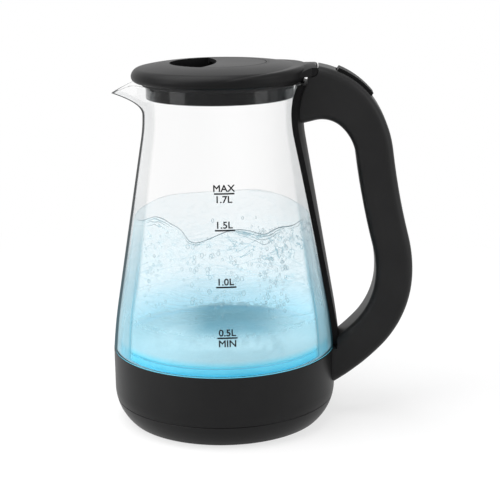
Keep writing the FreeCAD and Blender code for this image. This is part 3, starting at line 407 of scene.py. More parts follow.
glassLook = {
    # painted reflection: where each tone starts and ends as the wall turns away, 0 in front and 1 at the
    # outline
    "paintedPaleBand": (0.44, 0.56), "rim": (0.64, 0.70), "line": (0.74, 0.80), "seamMiddle": 0.50, "seamWidth": 0.042,
    # heights, and places from the jug's axis, in metres
    "blueFade": (0.060, 0.170), "besideX": (0.026, 0.054), "besideZ": (0.095, 0.150),
    "tipX": (0.0706, 0.0722), "tipZ": (0.200, 0.210),
    # colours high up, and low down where the water's blue is painted into the glass as reflection
    "clear": ((0.25, 0.27, 0.28), (0.30, 0.55, 0.64)), "pale": ((0.42, 0.44, 0.45), (0.21, 0.37, 0.43)),
    "dark": ((0.016, 0.018, 0.019), (0.010, 0.048, 0.064)), "seamBlue": (0.07, 0.27, 0.36),
    # how much each tone covers; the second of a pair is added low down
    "clearCover": 0.006, "smearCover": 0.008, "foldCover": 0.022, "besideCover": 0.09, "rimCover": 0.32,
    "bandCover": (0.17, 0.40), "seamCover": (0.04, 0.36), "lineCover": 0.72,
    # noise: scale, detail, stretch
    "smear": (9.0, 3.0, (1, 1, 0.35)), "smearRange": (0.35, 0.8),
    "fold": (16.0, 1.0, (1, 1, 0.04)), "foldRange": (0.42, 0.62),
    "rough": 0.03, "smearRough": 0.03, "lineRough": 0.6, "ior": 1.47, "specular": 0.25,
}


def glassFinish():
    # clear in front, with a painted pale band and a painted dark reflection line where the wall turns away
    f, look = Finish("jugGlass"), glassLook
    x, z, facing = f.along("X") - axisX * mm, f.along("Z"), f.facing()
    out = f.normal("X") * x + f.normal("Y") * f.along("Y")
    outer = out.math("GREATER_THAN", 0.0)
    smear, fold = f.noise(*look["smear"]), f.noise(*look["fold"])
    low = 1 - z.ramp(*look["blueFade"])
    paintedPaleBand = facing.ramp(*look["paintedPaleBand"]) * outer
    seam = facing.bell(look["seamMiddle"], look["seamWidth"]) * outer
    rim = facing.ramp(*look["rim"]) * outer
    # painted shade, a little darker beside the handle's spine, and a painted dark spot at the tip of the
    # spout
    paintedSpineShade = x.ramp(*look["besideX"]) * z.ramp(*look["besideZ"]) * outer
    tip = (0 - x).ramp(*look["tipX"]) * z.ramp(*look["tipZ"])
    line = (facing.ramp(*look["line"]) * outer).math("MAXIMUM", tip)
    clear, pale, dark = [f.tint(low, *look[name]) for name in ("clear", "pale", "dark")]
    base = f.tint(paintedPaleBand, clear, pale)
    base = f.tint(seam * low, base, look["seamBlue"])
    base = f.tint(line, base, dark)
    bandCover, seamCover = [high + low * more for high, more in (look["bandCover"], look["seamCover"])]
    alpha = look["clearCover"] + smear.ramp(*look["smearRange"]) * look["smearCover"]
    alpha = alpha + fold.ramp(*look["foldRange"]) * outer * look["foldCover"]
    alpha = alpha + paintedSpineShade * look["besideCover"] + rim * low * look["rimCover"]
    alpha = alpha + paintedPaleBand * bandCover + seam * seamCover + line * look["lineCover"]
    rough = look["rough"] + smear * look["smearRough"] + line * look["lineRough"]
    return f.surface(base=base, rough=rough, alpha=alpha, ior=look["ior"], specular=look["specular"])


def makeGlass():
    points = []
    around, collar = glass["around"], glass["collarRows"]
    wallRows = [glass["footLow"] + (glass["neckHeight"] - glass["footLow"]) * k / glass["wallRows"]
                for k in range(glass["wallRows"] + 1)]
    turns = [2 * math.pi * a / around for a in range(around)]
    rounds = [rimRounding(t) for t in turns]
    tops = {inside: [rimLevel(t, inside) - r for t, r in zip(turns, rounds)] for inside in (False, True)}

    def wall(inside, order):
        for k in order:
            for t, top in zip(turns, tops[inside]):
                if k < len(wallRows):
                    z = wallRows[k]
                else:
                    share = (k - len(wallRows) + 1) / collar
                    z = glass["neckHeight"] + (top - glass["neckHeight"]) * share
                points.append(jugPoint(t, wallRadius(t, z, inside), z))

    count = len(wallRows) + collar
    wall(False, range(count))
    for k in range(1, glass["rimRows"] + 1):
        swing = math.pi * k / (glass["rimRows"] + 1)
        for i, t in enumerate(turns):
            outer = jugPoint(t, wallRadius(t, tops[False][i], False), tops[False][i])
            inner = jugPoint(t, wallRadius(t, tops[True][i], True), tops[True][i])
            lift = Vector((0, 0, rounds[i] * mm * math.sin(swing)))
            points.append((outer + inner) / 2 + (outer - inner) / 2 * math.cos(swing) + lift)
    wall(True, reversed(range(count)))
    rows = len(points) // around
    piece = meshPiece("jugGlassWall", points, ringGrid(rows, around), glassFinish())
    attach(piece, "jug")
    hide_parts("glass_jug")


makeGlass()
print("glass made")


# the water

water = {
    "level": 145.0, "room": 0.3, "around": 240, "wallRows": 44, "topRows": 20,
    "dishRadius": 68.2, "dishFloor": 47.2, "lipHeight": 54.4, "lipRadius": 72.4, "sealTop": 56.2,
    # the surface along the wall: degrees about the jug's axis, height in mm
    "shore": ((-152, 144.8), (-143, 147.8), (-135, 150.4), (-128, 150.2), (-121, 147.9), (-113, 144.6),
              (-107, 138.2), (-102, 137.2), (-94, 140.0), (-85, 143.9), (-76, 145.4), (-69, 144.2),
              (-59, 141.0), (-48, 143.5), (-35, 142.8), (-21, 144.0), (2, 142.6), (25, 143.9), (50, 147.7),
              (68, 149.2), (82, 148.1), (110, 147.1), (137, 147.5), (161, 144.8), (185, 143.2)),
    # waves away from the wall: height in mm, and turns across x and y of two crossed waves and a fine one
    "chop": 0.7, "waves": ((9, 4), (-3, 7)), "fineWave": (17, -11), "fineShift": 1.3, "fineChop": 0.5,
    # how fast the chop dies out and the shore's height comes in towards the wall
    "calmPower": 4, "shorePower": 1.6,
}


def shoreHeight(turn):
    # smooth curve through the heights along the wall
    shore = water["shore"]
    count = len(shore)
    degrees = (math.degrees(turn) - shore[0][0]) % 360 + shore[0][0]
    i = max(k for k in range(count) if shore[k][0] <= degrees)
    knots = [(shore[k % count][0] + 360 * (k // count), shore[k % count][1]) for k in range(i - 1, i + 3)]
    (a, p), (b, q), (c, r), (d, t) = knots
    share = (degrees - b) / (c - b)
    rise, fall = (r - p) / (c - a) * (c - b), (t - q) / (d - b) * (c - b)
    s2, s3 = share ** 2, share ** 3
    return q * (2 * s3 - 3 * s2 + 1) + rise * (s3 - 2 * s2 + share) + r * (3 * s2 - 2 * s3) + fall * (s3 - s2)


def waterTop(turn, share):
    x, y = share * math.cos(turn), share * math.sin(turn)
    first, second, fine = [a * x + b * y for a, b in (*water["waves"], water["fineWave"])]
    chop = math.sin(first) * math.cos(second) + water["fineChop"] * math.sin(fine + water["fineShift"])
    calm = water["level"] + water["chop"] * chop * (1 - share ** water["calmPower"])
    return calm + (shoreHeight(turn) - water["level"]) * share ** water["shorePower"]


def waterRadius(z):
    return jugRadius(z) - glass["wall"] - water["room"]


waterLook = {
    # heights in metres between which each tone comes in or fades
    "floorFade": (0.060, 0.070), "depthFade": (0.060, 0.150), "footFade": (0.056, 0.092),
    "glowFade": (0.0562, 0.0620), "churnRise": (0.118, 0.126), "wispRise": (0.070, 0.078),
    "wispFade": (0.104, 0.124), "duskEdge": 0.0578, "duskWave": 0.012, "duskSoft": 0.0012,
    # places from the jug's axis in metres; the lit side of the foot is towards -Y
    "frontFade": (-0.020, 0.020), "rearRise": (-0.020, 0.050), "duskRear": (0.000, 0.044),
    "duskLeft": (-0.044, -0.012), "duskRight": (0.018, 0.060), "churnRight": (0.002, 0.014),
    # noise: scale, detail, stretch, bend; and the values that draw its lines
    "streak": (30.0, 4.0, (0.5, 0.5, 5.0), 0.8), "swirl": (55.0, 5.0, (1, 1, 1.6), 2.2),
    "swirlLine": (0.50, 0.040), "streakLine": (0.52, 0.035), "levelRange": (0.5, 0.85),
    # strength: the least, and what the place adds to it
    "glowShare": (0.15, 0.85), "duskShare": (0.03, 0.97), "churnShare": (0.16, 0.74),
    "duskOnWall": 0.7, "linesOnWall": 0.12, "wispShare": 0.35,
    # colours; shade and the dark rear's colour are painted shade, and glow is painted light from the light
    # ring
    "high": (0.34, 0.75, 0.88), "deep": (0.36, 0.64, 0.74), "shade": (0.12, 0.27, 0.34),
    "floor": ((0.47, 0.68, 0.76), (0.41, 0.63, 0.72)), "paintedRearShade": ((0.10, 0.29, 0.39), (0.15, 0.36, 0.47)),
    "glow": (0.10, 0.53, 0.70),
    # painted light: glow given to the water, though it is no lamp, in front and at the rear
    "highLight": (0.04, 0.11, 0.13), "deepLight": ((0.11, 0.16, 0.17), (0.22, 0.36, 0.42)),
    "floorLight": ((0.13, 0.16, 0.17), (0.26, 0.33, 0.35)), "duskLight": (0.01, 0.04, 0.05),
    "glowLight": (0.03, 0.15, 0.20), "lightStrength": 1.0,
    # how much each part covers
    "wallCover": 0.08, "depthCover": 0.14, "edgeCover": 0.20, "edgePower": 4.0, "footCover": (0.40, 0.20),
    "floorCover": 0.88, "topCover": 0.04, "glowCover": 0.25, "shadeCover": 0.50,
    "rough": 0.08, "swirlRough": 0.08, "swirlDepth": 0.0012, "bumpStrength": 0.5,
    "ior": 1.33, "specular": 0.3,
}


def waterFinish():
    # pale blue, fuller towards the foot, with painted light along the seal
    f, look = Finish("boilingWater"), waterLook

    def share(name, mask):
        least, more = look[name]
        return least + mask * more

    x, y, z, facing = f.along("X") - axisX * mm, f.along("Y"), f.along("Z"), f.facing()
    streak, swirl = f.noise(*look["streak"]), f.noise(*look["swirl"])
    level = f.normal("Z").math("ABSOLUTE").ramp(*look["levelRange"])
    wall = 1 - level
    front, rear = 1 - y.ramp(*look["frontFade"]), y.ramp(*look["rearRise"])
    floor = level * (1 - z.ramp(*look["floorFade"]))
    depth = 1 - z.ramp(*look["depthFade"])
    foot = wall * (1 - z.ramp(*look["footFade"]))
    # painted light from the light ring along the seal, stronger on the lit side in front
    glow = wall * (1 - z.ramp(*look["glowFade"])) * share("glowShare", front)
    # painted shade: a dark patch over the rear of the heated floor, and low on the wall above it
    middle = x.ramp(*look["duskLeft"]) * (1 - x.ramp(*look["duskRight"]))
    edge = look["duskEdge"] + (swirl - 0.5) * look["duskWave"]
    onWall = wall * (edge - z).ramp(0.0, look["duskSoft"]) * look["duskOnWall"]
    paintedRearShade = (floor + onWall) * y.ramp(*look["duskRear"]) * share("duskShare", middle)
    # painted shade: dark wisps where the water churns
    lines = swirl.bell(*look["swirlLine"])
    churn = wall * front * z.ramp(*look["churnRise"]) * share("churnShare", x.ramp(*look["churnRight"]))
    wisp = wall * z.ramp(*look["wispRise"]) * (1 - z.ramp(*look["wispFade"]))
    wisp = wisp * streak.bell(*look["streakLine"])
    shade = lines * (churn + wall * look["linesOnWall"]) + wisp * look["wispShare"]
    paintedRingLight = glow * (1 - paintedRearShade)
    base = f.tint(depth, look["high"], look["deep"])
    base = f.tint(floor, base, f.tint(swirl, *look["floor"]))
    base = f.tint(paintedRearShade, base, f.tint(streak, *look["paintedRearShade"]))
    base = f.tint(shade, base, look["shade"])
    base = f.tint(paintedRingLight, base, look["glow"])
    outline = facing.math("POWER", look["edgePower"])
    alpha = wall * (look["wallCover"] + depth * look["depthCover"] + outline * look["edgeCover"])
    alpha = alpha + foot * share("footCover", rear) + floor * look["floorCover"] + level * look["topCover"]
    alpha = alpha + glow * look["glowCover"] + shade * look["shadeCover"]
    # painted light: the water glows, more at the rear and on its floor
    light = f.tint(depth, look["highLight"], f.tint(rear, *look["deepLight"]))
    light = f.tint(floor, light, f.tint(rear, *look["floorLight"]))
    light = f.tint(paintedRearShade, light, look["duskLight"])
    light = f.tint(paintedRingLight, light, look["glowLight"])
    rough = look["rough"] + swirl * look["swirlRough"]
    normal = f.bump(swirl, look["swirlDepth"], look["bumpStrength"])
    return f.surface(base=base, rough=rough, alpha=alpha, ior=look["ior"], normal=normal,
                     specular=look["specular"], glow=light, glowStrength=look["lightStrength"])


def makeWater():
    around = water["around"]
    turns = [2 * math.pi * a / around for a in range(around)]
    rows = [(water["dishRadius"], water["dishFloor"]), (water["dishRadius"], water["lipHeight"]),
            (water["lipRadius"], water["lipHeight"]), (water["lipRadius"], water["sealTop"]),
            (waterRadius(water["sealTop"]), water["sealTop"])]
    points = [jugPoint(0, 0, water["dishFloor"]), jugPoint(0, 0, waterTop(0, 0))]
    for radius, z in rows:
        points += [jugPoint(t, radius, z) for t in turns]
    for k in range(1, water["wallRows"] + 1):
        for t in turns:
            z = water["sealTop"] + (waterTop(t, 1.0) - water["sealTop"]) * k / water["wallRows"]
            points.append(jugPoint(t, waterRadius(z), z))
    for k in range(1, water["topRows"]):
        share = 1 - k / water["topRows"]
        points += [jugPoint(t, waterRadius(waterTop(t, 1.0)) * share, waterTop(t, share)) for t in turns]
    bands = (len(points) - 2) // around
    faces = [tuple(2 + i for i in face) for face in ringGrid(bands, around)[:(bands - 1) * around]]
    last = 2 + (bands - 1) * around
    for a in range(around):
        b = (a + 1) % around
        faces.append((0, 2 + b, 2 + a))
        faces.append((1, last + a, last + b))
    piece = meshPiece("boilingWater", points, faces, waterFinish())
    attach(piece, "jug")


waterLine = {
    # painted shade: a thin dark tube where the water meets the glass, and dark ripples just under the surface
    "sides": 6, "lift": 0.1, "radius": 0.34, "inset": 0.05,
    "ringsPerDegree": 2, "wobble": 0.35, "wobbleTurns": 15, "rippleEnd": 0.25,
    # ripples under the surface: first and last degrees, depth at the start, middle and end, radius in mm
    "ripples": ((-82, -43, 0.6, 2.4, 0.8, 0.30), (-77, -47, 1.4, 5.0, 2.6, 0.26),
                (-73, -50, 3.2, 8.2, 5.0, 0.24), (-150, -119, 0.8, 1.8, 1.4, 0.32),
                (-147, -122, 2.0, 3.6, 2.6, 0.30), (-143, -125, 4.6, 5.4, 5.2, 0.24),
                (-112, -96, 1.5, 1.2, 0.6, 0.24), (-40, -18, 1.2, 2.2, 1.0, 0.24),
                (58, 76, 0.8, 1.0, 0.6, 0.40)),
    # painted shade: the line is dark in patches, and fainter towards the rear
    "patchScale": 45.0, "patchRange": (0.35, 0.65), "frontFade": (-0.045, -0.010),
    "dark": (0.07, 0.13, 0.16), "pale": (0.16, 0.26, 0.30), "rough": 0.2, "patchRough": 0.1,
    "cover": (0.34, 0.46), "frontShare": (0.16, 0.84),
}


def waterLineFinish():
    f, look = Finish("waterLine"), waterLine
    patch = f.noise(look["patchScale"], 3.0)
    front = 1 - f.along("Y").ramp(*look["frontFade"])
    base = f.tint(patch, look["dark"], look["pale"])
    (thin, thick), (least, more) = look["cover"], look["frontShare"]
    alpha = (thin + patch.ramp(*look["patchRange"]) * thick) * (least + front * more)
    return f.surface(base=base, rough=look["rough"] + patch * look["patchRough"], alpha=alpha)


def tubeRing(points, turn, z, radius):
    middle = waterRadius(z) - radius - waterLine["inset"]
    for s in range(waterLine["sides"]):
        swing = 2 * math.pi * s / waterLine["sides"]
        points.append(jugPoint(turn, middle + radius * math.cos(swing), z + radius * math.sin(swing)))


def makeWaterLine():
    around, sides = water["around"] * 2, waterLine["sides"]
    finish = waterLineFinish()
    points = []
    for a in range(around):
        t = 2 * math.pi * a / around
        tubeRing(points, t, waterTop(t, 1.0) + waterLine["lift"], waterLine["radius"])
    piece = meshPiece("waterLine", points, ringGrid(around, sides), finish)
    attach(piece, "jug")
    points, faces = [], []
    for first, last, start, middle, end, radius in waterLine["ripples"]:
        rings = int((last - first) * waterLine["ringsPerDegree"])
        at = len(points)
        for k in range(rings + 1):
            share = k / rings
            t = math.radians(first + (last - first) * share)
            drop = start * (1 - share) ** 2 + 2 * middle * share * (1 - share) + end * share ** 2
            swell = math.sin(math.pi * share)  # nothing at both ends of a ripple
            wobble = waterLine["wobble"] * math.sin(first + waterLine["wobbleTurns"] * share) * swell
            thick = radius * (waterLine["rippleEnd"] + (1 - waterLine["rippleEnd"]) * swell)
            tubeRing(points, t, waterTop(t, 1.0) - drop + wobble, thick)
        faces += [tuple(at + i for i in face) for face in ringGrid(rings + 1, sides)[:rings * sides]]
        tail = at + rings * sides
        faces += [tuple(at + i for i in range(sides)), tuple(tail + i for i in reversed(range(sides)))]
    piece = meshPiece("ripples", points, faces, finish)
    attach(piece, "jug")


makeWater()
makeWaterLine()
print("water made")


# bubbles in the water

bubbles = {
    # low corner, high corner in mm about the jug's axis, count, smallest and largest radius in mm, seed
    "leftColumn": ((-52, -38, 72), (-38, -18, 140), 42, 0.4, 1.0, 3),
    "middleColumn": ((-22, -52, 88), (20, -30, 132), 64, 0.5, 1.4, 8),
    "rightColumn": ((26, -44, 84), (46, -14, 138), 130, 0.35, 1.1, 14),
    "floorRing": ((-44, -54, 57), (48, -24, 66), 46, 0.6, 1.6, 21),
    "backDrift": ((-44, 8, 60), (40, 46, 138), 40, 0.4, 1.1, 33),
}

bubbleLook = {
    "segments": 8, "rings": 6, "stretch": (1.0, 1.0, 1.45),
    # inner is a pale middle, outline a painted dark reflection where the bubble turns away
    "cloudScale": 400.0, "inner": (0.86, 0.95, 0.98),
    "outline": (0.05, 0.17, 0.22), "outlineRange": (0.20, 0.6),
    "coverRange": (0.25, 0.75), "innerCover": 0.06, "outlineCover": 0.62, "cloudCover": 0.04,
    "rough": 0.05, "cloudRough": 0.05, "ior": 1.33,
}


def bubbleFinish():
    f, look = Finish("airBubble"), bubbleLook
    facing = f.facing()
    cloud = f.noise(look["cloudScale"], 2.0)
    # painted reflection: a dark outline where the bubble turns away, over a pale middle
    base = f.tint(facing.ramp(*look["outlineRange"]), look["inner"], look["outline"])
    alpha = look["innerCover"] + facing.ramp(*look["coverRange"]) * look["outlineCover"]
    alpha = alpha + cloud * look["cloudCover"]
    rough = look["rough"] + cloud * look["cloudRough"]
    return f.surface(base=base, rough=rough, alpha=alpha, ior=look["ior"])


def bubbleTree():
    tree = bpy.data.node_groups.new("bubbleSwarm", "GeometryNodeTree")
    m = Maker(tree)
    sockets = (("Count", "Int"), ("Low corner", "Vector"), ("High corner", "Vector"), ("Smallest", "Float"),
               ("Largest", "Float"), ("Seed", "Int"), ("Finish", "Material"))
    for name, kind in sockets:
        tree.interface.new_socket(name=name, in_out="INPUT", socket_type="NodeSocket" + kind)
    tree.interface.new_socket(name="Geometry", in_out="OUTPUT", socket_type="NodeSocketGeometry")
    given = tree.nodes.new("NodeGroupInput")
    take = {name: Value(m, given.outputs[name]) for name, kind in sockets}
    spot = m.add("FunctionNodeRandomValue", {"data_type": "FLOAT_VECTOR"},
                 {0: take["Low corner"], 1: take["High corner"], "Seed": take["Seed"]})
    dots = m.add("GeometryNodePoints", {}, {"Count": take["Count"], "Position": spot})
    ball = m.add("GeometryNodeMeshUVSphere", {},
                 {"Segments": bubbleLook["segments"], "Rings": bubbleLook["rings"], "Radius": 1.0})
    drop = m.add("GeometryNodeTransform", {}, {"Geometry": ball, "Scale": bubbleLook["stretch"]})
    size = m.add("FunctionNodeRandomValue", {"data_type": "FLOAT"},
                 {2: take["Smallest"], 3: take["Largest"], "Seed": take["Seed"] + 1.0}, out=1)
    placed = m.add("GeometryNodeInstanceOnPoints", {}, {"Points": dots, "Instance": drop, "Scale": size})
    real = m.add("GeometryNodeRealizeInstances", {}, {"Geometry": placed})
    soft = m.add("GeometryNodeSetShadeSmooth", {}, {"Geometry": real})
    done = m.add("GeometryNodeSetMaterial", {}, {"Geometry": soft, "Material": take["Finish"]})
    tree.links.new(done.socket, tree.nodes.new("NodeGroupOutput").inputs["Geometry"])
    return tree


def grown(name, tree, values, points=()):
    # run a node tree on some points with its inputs set, and keep the result as a plain mesh
    seed = bpy.data.meshes.new(name + "Seed")
    seed.from_pydata(list(points), [], [])
    holder = bpy.data.objects.new(name, seed)
    scene.collection.objects.link(holder)
    modifier = holder.modifiers.new("grow", "NODES")
    modifier.node_group = tree
    for item in tree.interface.items_tree:
        if item.item_type == "SOCKET" and item.in_out == "INPUT" and item.name in values:
            modifier[item.identifier] = values[item.name]
    bpy.context.view_layer.update()
    ready = holder.evaluated_get(bpy.context.evaluated_depsgraph_get())
    mesh = bpy.data.meshes.new_from_object(ready)
    holder.modifiers.remove(modifier)
    holder.data = mesh
    mesh.name = name
    return holder


def makeBubbles():
    tree, finish = bubbleTree(), bubbleFinish()
    for name, (low, high, count, least, most, seed) in bubbles.items():
        corners = [tuple((v + (axisX if i == 0 else 0)) * mm for i, v in enumerate(c)) for c in (low, high)]
        values = {"Count": count, "Low corner": corners[0], "High corner": corners[1],
                  "Smallest": least * mm, "Largest": most * mm, "Seed": seed, "Finish": finish}
        piece = grown("bubbles_" + name, tree, values)
        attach(piece, "jug")


makeBubbles()
print("bubbles made")


# cross recesses in the screw heads, drawn as dark crosses of painted shade

recess = {
    "length": 3.2, "width": 0.85, "depth": 0.5, "proud": 0.03, "perRing": 3,
    "gritScale": 900.0, "dark": (0.012, 0.012, 0.013), "worn": (0.035, 0.034, 0.033),
    "rough": 0.5, "gritRough": 0.2, "metal": 0.6, "gritDepth": 0.00002,
}

screwRings = {
    # body, radius of the screws' circle in mm, first screw in degrees, height of the heads' faces in mm
    "lidRecesses": ("lid", 42.0, 60, 224.4),
    "plateRecesses": ("power_base", 48.01, 0, 1.0),
    "coverRecesses": ("jug", 67.6, 60, 17.4),
}

# heads that face the jug's axis, from the handle: x, y, z in mm
handleHeads = ((46.07, -9.5, 36.0), (46.07, 9.5, 36.0), (26.52, 0, 216.3), (28.88, 0, 226.3))


def recessFinish():
    f = Finish("driveRecess")
    grit = f.noise(recess["gritScale"], 3.0)
    # painted shade: the cross is dark where the recess lies in shadow
    base = f.tint(grit, recess["dark"], recess["worn"])
    rough = recess["rough"] + grit * recess["gritRough"]
    return f.surface(base=base, rough=rough, metal=recess["metal"], normal=f.bump(grit, recess["gritDepth"]))


def recessTree():
    tree = bpy.data.node_groups.new("screwRecess", "GeometryNodeTree")
    m = Maker(tree)
    sockets = (("Heads", "Geometry"), ("Long bar", "Vector"), ("Cross bar", "Vector"), ("Turn", "Vector"),
               ("Finish", "Material"))
    for name, kind in sockets:
        tree.interface.new_socket(name=name, in_out="INPUT", socket_type="NodeSocket" + kind)
    tree.interface.new_socket(name="Geometry", in_out="OUTPUT", socket_type="NodeSocketGeometry")
    given = tree.nodes.new("NodeGroupInput")
    take = {name: Value(m, given.outputs[name]) for name, kind in sockets}
    bars = [m.add("GeometryNodeMeshCube", {}, {"Size": take[name]}) for name in ("Long bar", "Cross bar")]
    cross = m.add("GeometryNodeMeshBoolean", {"operation": "UNION"}, {1: bars[0]})
    tree.links.new(bars[1].socket, cross.socket.node.inputs[1])
    placed = m.add("GeometryNodeInstanceOnPoints", {},
                   {"Points": take["Heads"], "Instance": cross, "Rotation": take["Turn"]})
    real = m.add("GeometryNodeRealizeInstances", {}, {"Geometry": placed})
    done = m.add("GeometryNodeSetMaterial", {}, {"Geometry": real, "Material": take["Finish"]})
    tree.links.new(done.socket, tree.nodes.new("NodeGroupOutput").inputs["Geometry"])
    return tree


def makeRecesses():
    tree = recessTree()
    sink = recess["depth"] / 2 - recess["proud"]
    bars = [tuple(v * mm for v in size) for size in ((recess["length"], recess["width"], recess["depth"]),
                                                     (recess["width"], recess["length"], recess["depth"]))]
    values = {"Long bar": bars[0], "Cross bar": bars[1], "Finish": recessFinish()}
    groups = [("handleRecesses", "jug", (0, math.pi / 2, 0),
               [tuple(v * mm for v in (x + sink, y, z)) for x, y, z in handleHeads])]
    for name, (body, radius, first, height) in screwRings.items():
        turns = [math.radians(first + 360 / recess["perRing"] * k) for k in range(recess["perRing"])]
        heads = [jugPoint(t, radius, height + sink) for t in turns]
        groups.append((name, body, (0, 0, math.radians(first)), heads))
    for name, body, turn, points in groups:
        piece = grown(name, tree, {**values, "Turn": turn}, points)
        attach(piece, body)


makeRecesses()
print("screw recesses made")


# the gauge printed on the glass

gauge = {
    "turn": -84.4, "capHeight": 4.3, "lineWidth": 13.1, "lineHeight": 1.0, "depth": 0.12, "room": 0.03,
    "spread": 1.08, "weight": 0.019, "extrude": 0.05, "curveSteps": 4, "lineSteps": 20,
    # height of the line in mm, and the words above and below it
    "marks": ((169.3, "MAX", "1.7L"), (146.1, "1.5L", None), (110.0, "1.0L", None), (77.5, "0.5L", "MIN")),
    "gap": 1.35,
    "inkScale": 700.0, "ink": (0.004, 0.004, 0.005), "thinInk": (0.010, 0.011, 0.012),
    "rough": 0.6, "inkRough": 0.1, "inkDepth": 0.00001, "specular": 0.08,
}


def gaugeFinish():
    f = Finish("gaugePrint")
    ink = f.noise(gauge["inkScale"], 3.0)
    base = f.tint(ink, gauge["ink"], gauge["thinInk"])
    rough, normal = gauge["rough"] + ink * gauge["inkRough"], f.bump(ink, gauge["inkDepth"])
    return f.surface(base=base, rough=rough, normal=normal, specular=gauge["specular"])


def wordMesh(word):
    curve = bpy.data.curves.new("word", "FONT")
    curve.body = word
    curve.align_x = "CENTER"
    curve.size = 1.0
    curve.extrude = gauge["extrude"]
    curve.resolution_u = gauge["curveSteps"]
    curve.bevel_depth = gauge["weight"]
    curve.bevel_resolution = 0
    holder = bpy.data.objects.new("word", curve)
    scene.collection.objects.link(holder)
    bpy.context.view_layer.update()
    mesh = bpy.data.meshes.new_from_object(holder.evaluated_get(bpy.context.evaluated_depsgraph_get()))
    bpy.data.objects.remove(holder)
    bpy.data.curves.remove(curve)
    return mesh


def makeGauge():
    work = bmesh.new()
    bend = math.radians(gauge["turn"])

    def wrap(x, y, deep):
        # a flat point of the print laid on the glass: x along it, y up, deep outward
        radius = jugRadius(y) + gauge["room"] + deep
        return jugPoint(bend + x / radius, radius, y)

    def lineAt(z):
        steps = gauge["lineSteps"]
        grid = {}
        for i in range(steps + 1):
            for j in (0, 1):
                for k in (0, 1):
                    x, y = gauge["lineWidth"] * (i / steps - 0.5), z + gauge["lineHeight"] * (j - 0.5)
                    grid[i, j, k] = work.verts.new(wrap(x, y, gauge["depth"] * k))
        for i in range(steps):
            for (a, b), (c, d) in (((0, 0), (1, 0)), ((1, 0), (1, 1)), ((1, 1), (0, 1)), ((0, 1), (0, 0))):
                work.faces.new((grid[i, a, b], grid[i + 1, a, b], grid[i + 1, c, d], grid[i, c, d]))
        for i in (0, steps):
            work.faces.new((grid[i, 0, 0], grid[i, 1, 0], grid[i, 1, 1], grid[i, 0, 1]))

    def wordAt(word, z):
        mesh = wordMesh(word)
        tall = max(v.co.y for v in mesh.vertices)
        middle = (max(v.co.x for v in mesh.vertices) + min(v.co.x for v in mesh.vertices)) / 2
        size = gauge["capHeight"] / tall
        for v in mesh.vertices:
            deep = gauge["depth"] * (v.co.z / (2 * gauge["extrude"]) + 0.5)
            v.co = wrap((v.co.x - middle) * size * gauge["spread"], z + v.co.y * size, deep)
        work.from_mesh(mesh)
        bpy.data.meshes.remove(mesh)

    for z, above, below in gauge["marks"]:
        lineAt(z)
        wordAt(above, z + gauge["gap"])
        if below:
            wordAt(below, z - gauge["gap"] - gauge["capHeight"])
    mesh = bpy.data.meshes.new("gaugePrint")
    work.to_mesh(mesh)
    work.free()
    piece = bpy.data.objects.new("gaugePrint", mesh)
    scene.collection.objects.link(piece)
    finishPiece(piece, gaugeFinish(), smooth=False)
    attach(piece, "jug")


makeGauge()
print("gauge made")


# finishes on the CAD nodes

for part in frame["record"]["subparts"]:
    if part["material_slot"] in finishes:
        node = frame["nodes"][part["node"]]
        node.data.materials.clear()
        node.data.materials.append(finishes[part["material_slot"]])
print("CAD nodes finished")


# floor, light and camera

studio = {
    "floorSize": 40.0, "floorPaint": 0.30, "paintFade": (0.20, 0.60), "speckScale": 35.0,
    "floorColours": ((0.90, 0.90, 0.90), (0.88, 0.88, 0.88)), "roomLight": 0.32, "clearBounces": 32,
    # name, place, aim, width, height, watts
    "lamps": (("topSoftbox", (-0.40, -0.15, 1.30), (0, 0, 0.15), 1.3, 1.3, 24.0),
              ("leftSoftbox", (-1.15, -0.55, 0.55), (-0.02, 0, 0.13), 0.7, 1.3, 8.0),
              ("rightSoftbox", (1.15, -0.45, 0.60), (-0.02, 0, 0.13), 0.6, 1.3, 6.0)),
}


def rayShare(m):
    # 1 where the camera, a reflection or a clear piece looks at the background
    path = m.tree.nodes.new("ShaderNodeLightPath")
    names = ("Is Camera Ray", "Is Glossy Ray", "Is Transmission Ray")
    seen = [Value(m, path.outputs[name]) for name in names]
    return seen[0].math("MAXIMUM", seen[1]).math("MAXIMUM", seen[2])


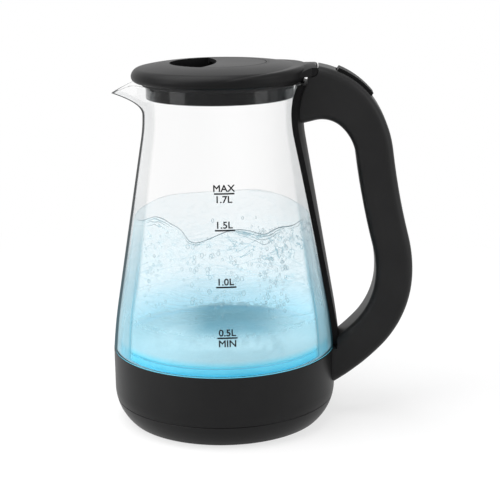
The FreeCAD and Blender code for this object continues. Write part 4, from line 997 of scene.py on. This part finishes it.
def makeFloor():
    # painted floor that takes the kettle's shadow near it and runs out to white
    half = studio["floorSize"] / 2
    f = Finish("paleFloor")
    speck = f.noise(studio["speckScale"], 2.0)
    paint = f.add("ShaderNodeBsdfDiffuse", {}, {"Color": f.tint(speck, *studio["floorColours"])})
    glow = f.add("ShaderNodeEmission", {}, {"Strength": 1.0})
    near = 1 - f.radius().ramp(*studio["paintFade"])
    seen = f.add("ShaderNodeMixShader", {}, {0: near * studio["floorPaint"], 1: glow, 2: paint})
    f.show(f.add("ShaderNodeMixShader", {}, {0: rayShare(f), 1: paint, 2: seen}))
    corners = ((-half, -half, 0), (half, -half, 0), (half, half, 0), (-half, half, 0))
    floor = meshPiece("floor", corners, [(0, 1, 2, 3)], f.material)


def makeRoom():
    room = bpy.data.worlds.new("studioRoom")
    room.use_nodes = True
    room.node_tree.nodes.clear()
    m = Maker(room.node_tree)
    share = rayShare(m)
    strength = studio["roomLight"] + share * (1.0 - studio["roomLight"])
    sky = m.add("ShaderNodeBackground", {}, {"Color": (1, 1, 1, 1), "Strength": strength})
    room.node_tree.links.new(sky.socket, room.node_tree.nodes.new("ShaderNodeOutputWorld").inputs["Surface"])
    scene.world = room


def makeLamps():
    for name, place, aim, width, height, watts in studio["lamps"]:
        lamp = bpy.data.lights.new(name, "AREA")
        lamp.shape = "RECTANGLE"
        lamp.size, lamp.size_y, lamp.energy = width, height, watts
        holder = bpy.data.objects.new(name, lamp)
        holder.location = place
        holder.rotation_euler = (Vector(aim) - Vector(place)).to_track_quat("-Z", "Y").to_euler()
        scene.collection.objects.link(holder)


camera = {"lens": 93.6, "sensor": 36.0, "place": (0.0345, -0.8718, 0.3373),
          "forward": (-0.04674, 0.96868, -0.24412), "rollDegrees": -0.74}


def makeCamera():
    lens = bpy.data.cameras.new("photoCamera")
    lens.lens, lens.sensor_width, lens.sensor_fit = camera["lens"], camera["sensor"], "HORIZONTAL"
    forward = Vector(camera["forward"]).normalized()
    right = forward.cross(Vector((0, 0, 1))).normalized()
    up = right.cross(forward)
    roll = math.radians(camera["rollDegrees"])
    right, up = right * math.cos(roll) + up * math.sin(roll), up * math.cos(roll) - right * math.sin(roll)
    turn = Matrix((right, up, -forward)).transposed().to_4x4()
    holder = bpy.data.objects.new("photoCamera", lens)
    holder.matrix_world = Matrix.Translation(camera["place"]) @ turn
    scene.collection.objects.link(holder)
    scene.camera = holder


makeFloor()
makeRoom()
makeLamps()
makeCamera()
scene.view_settings.view_transform = "Standard"
scene.cycles.transparent_max_bounces = studio["clearBounces"]
print("studio made")
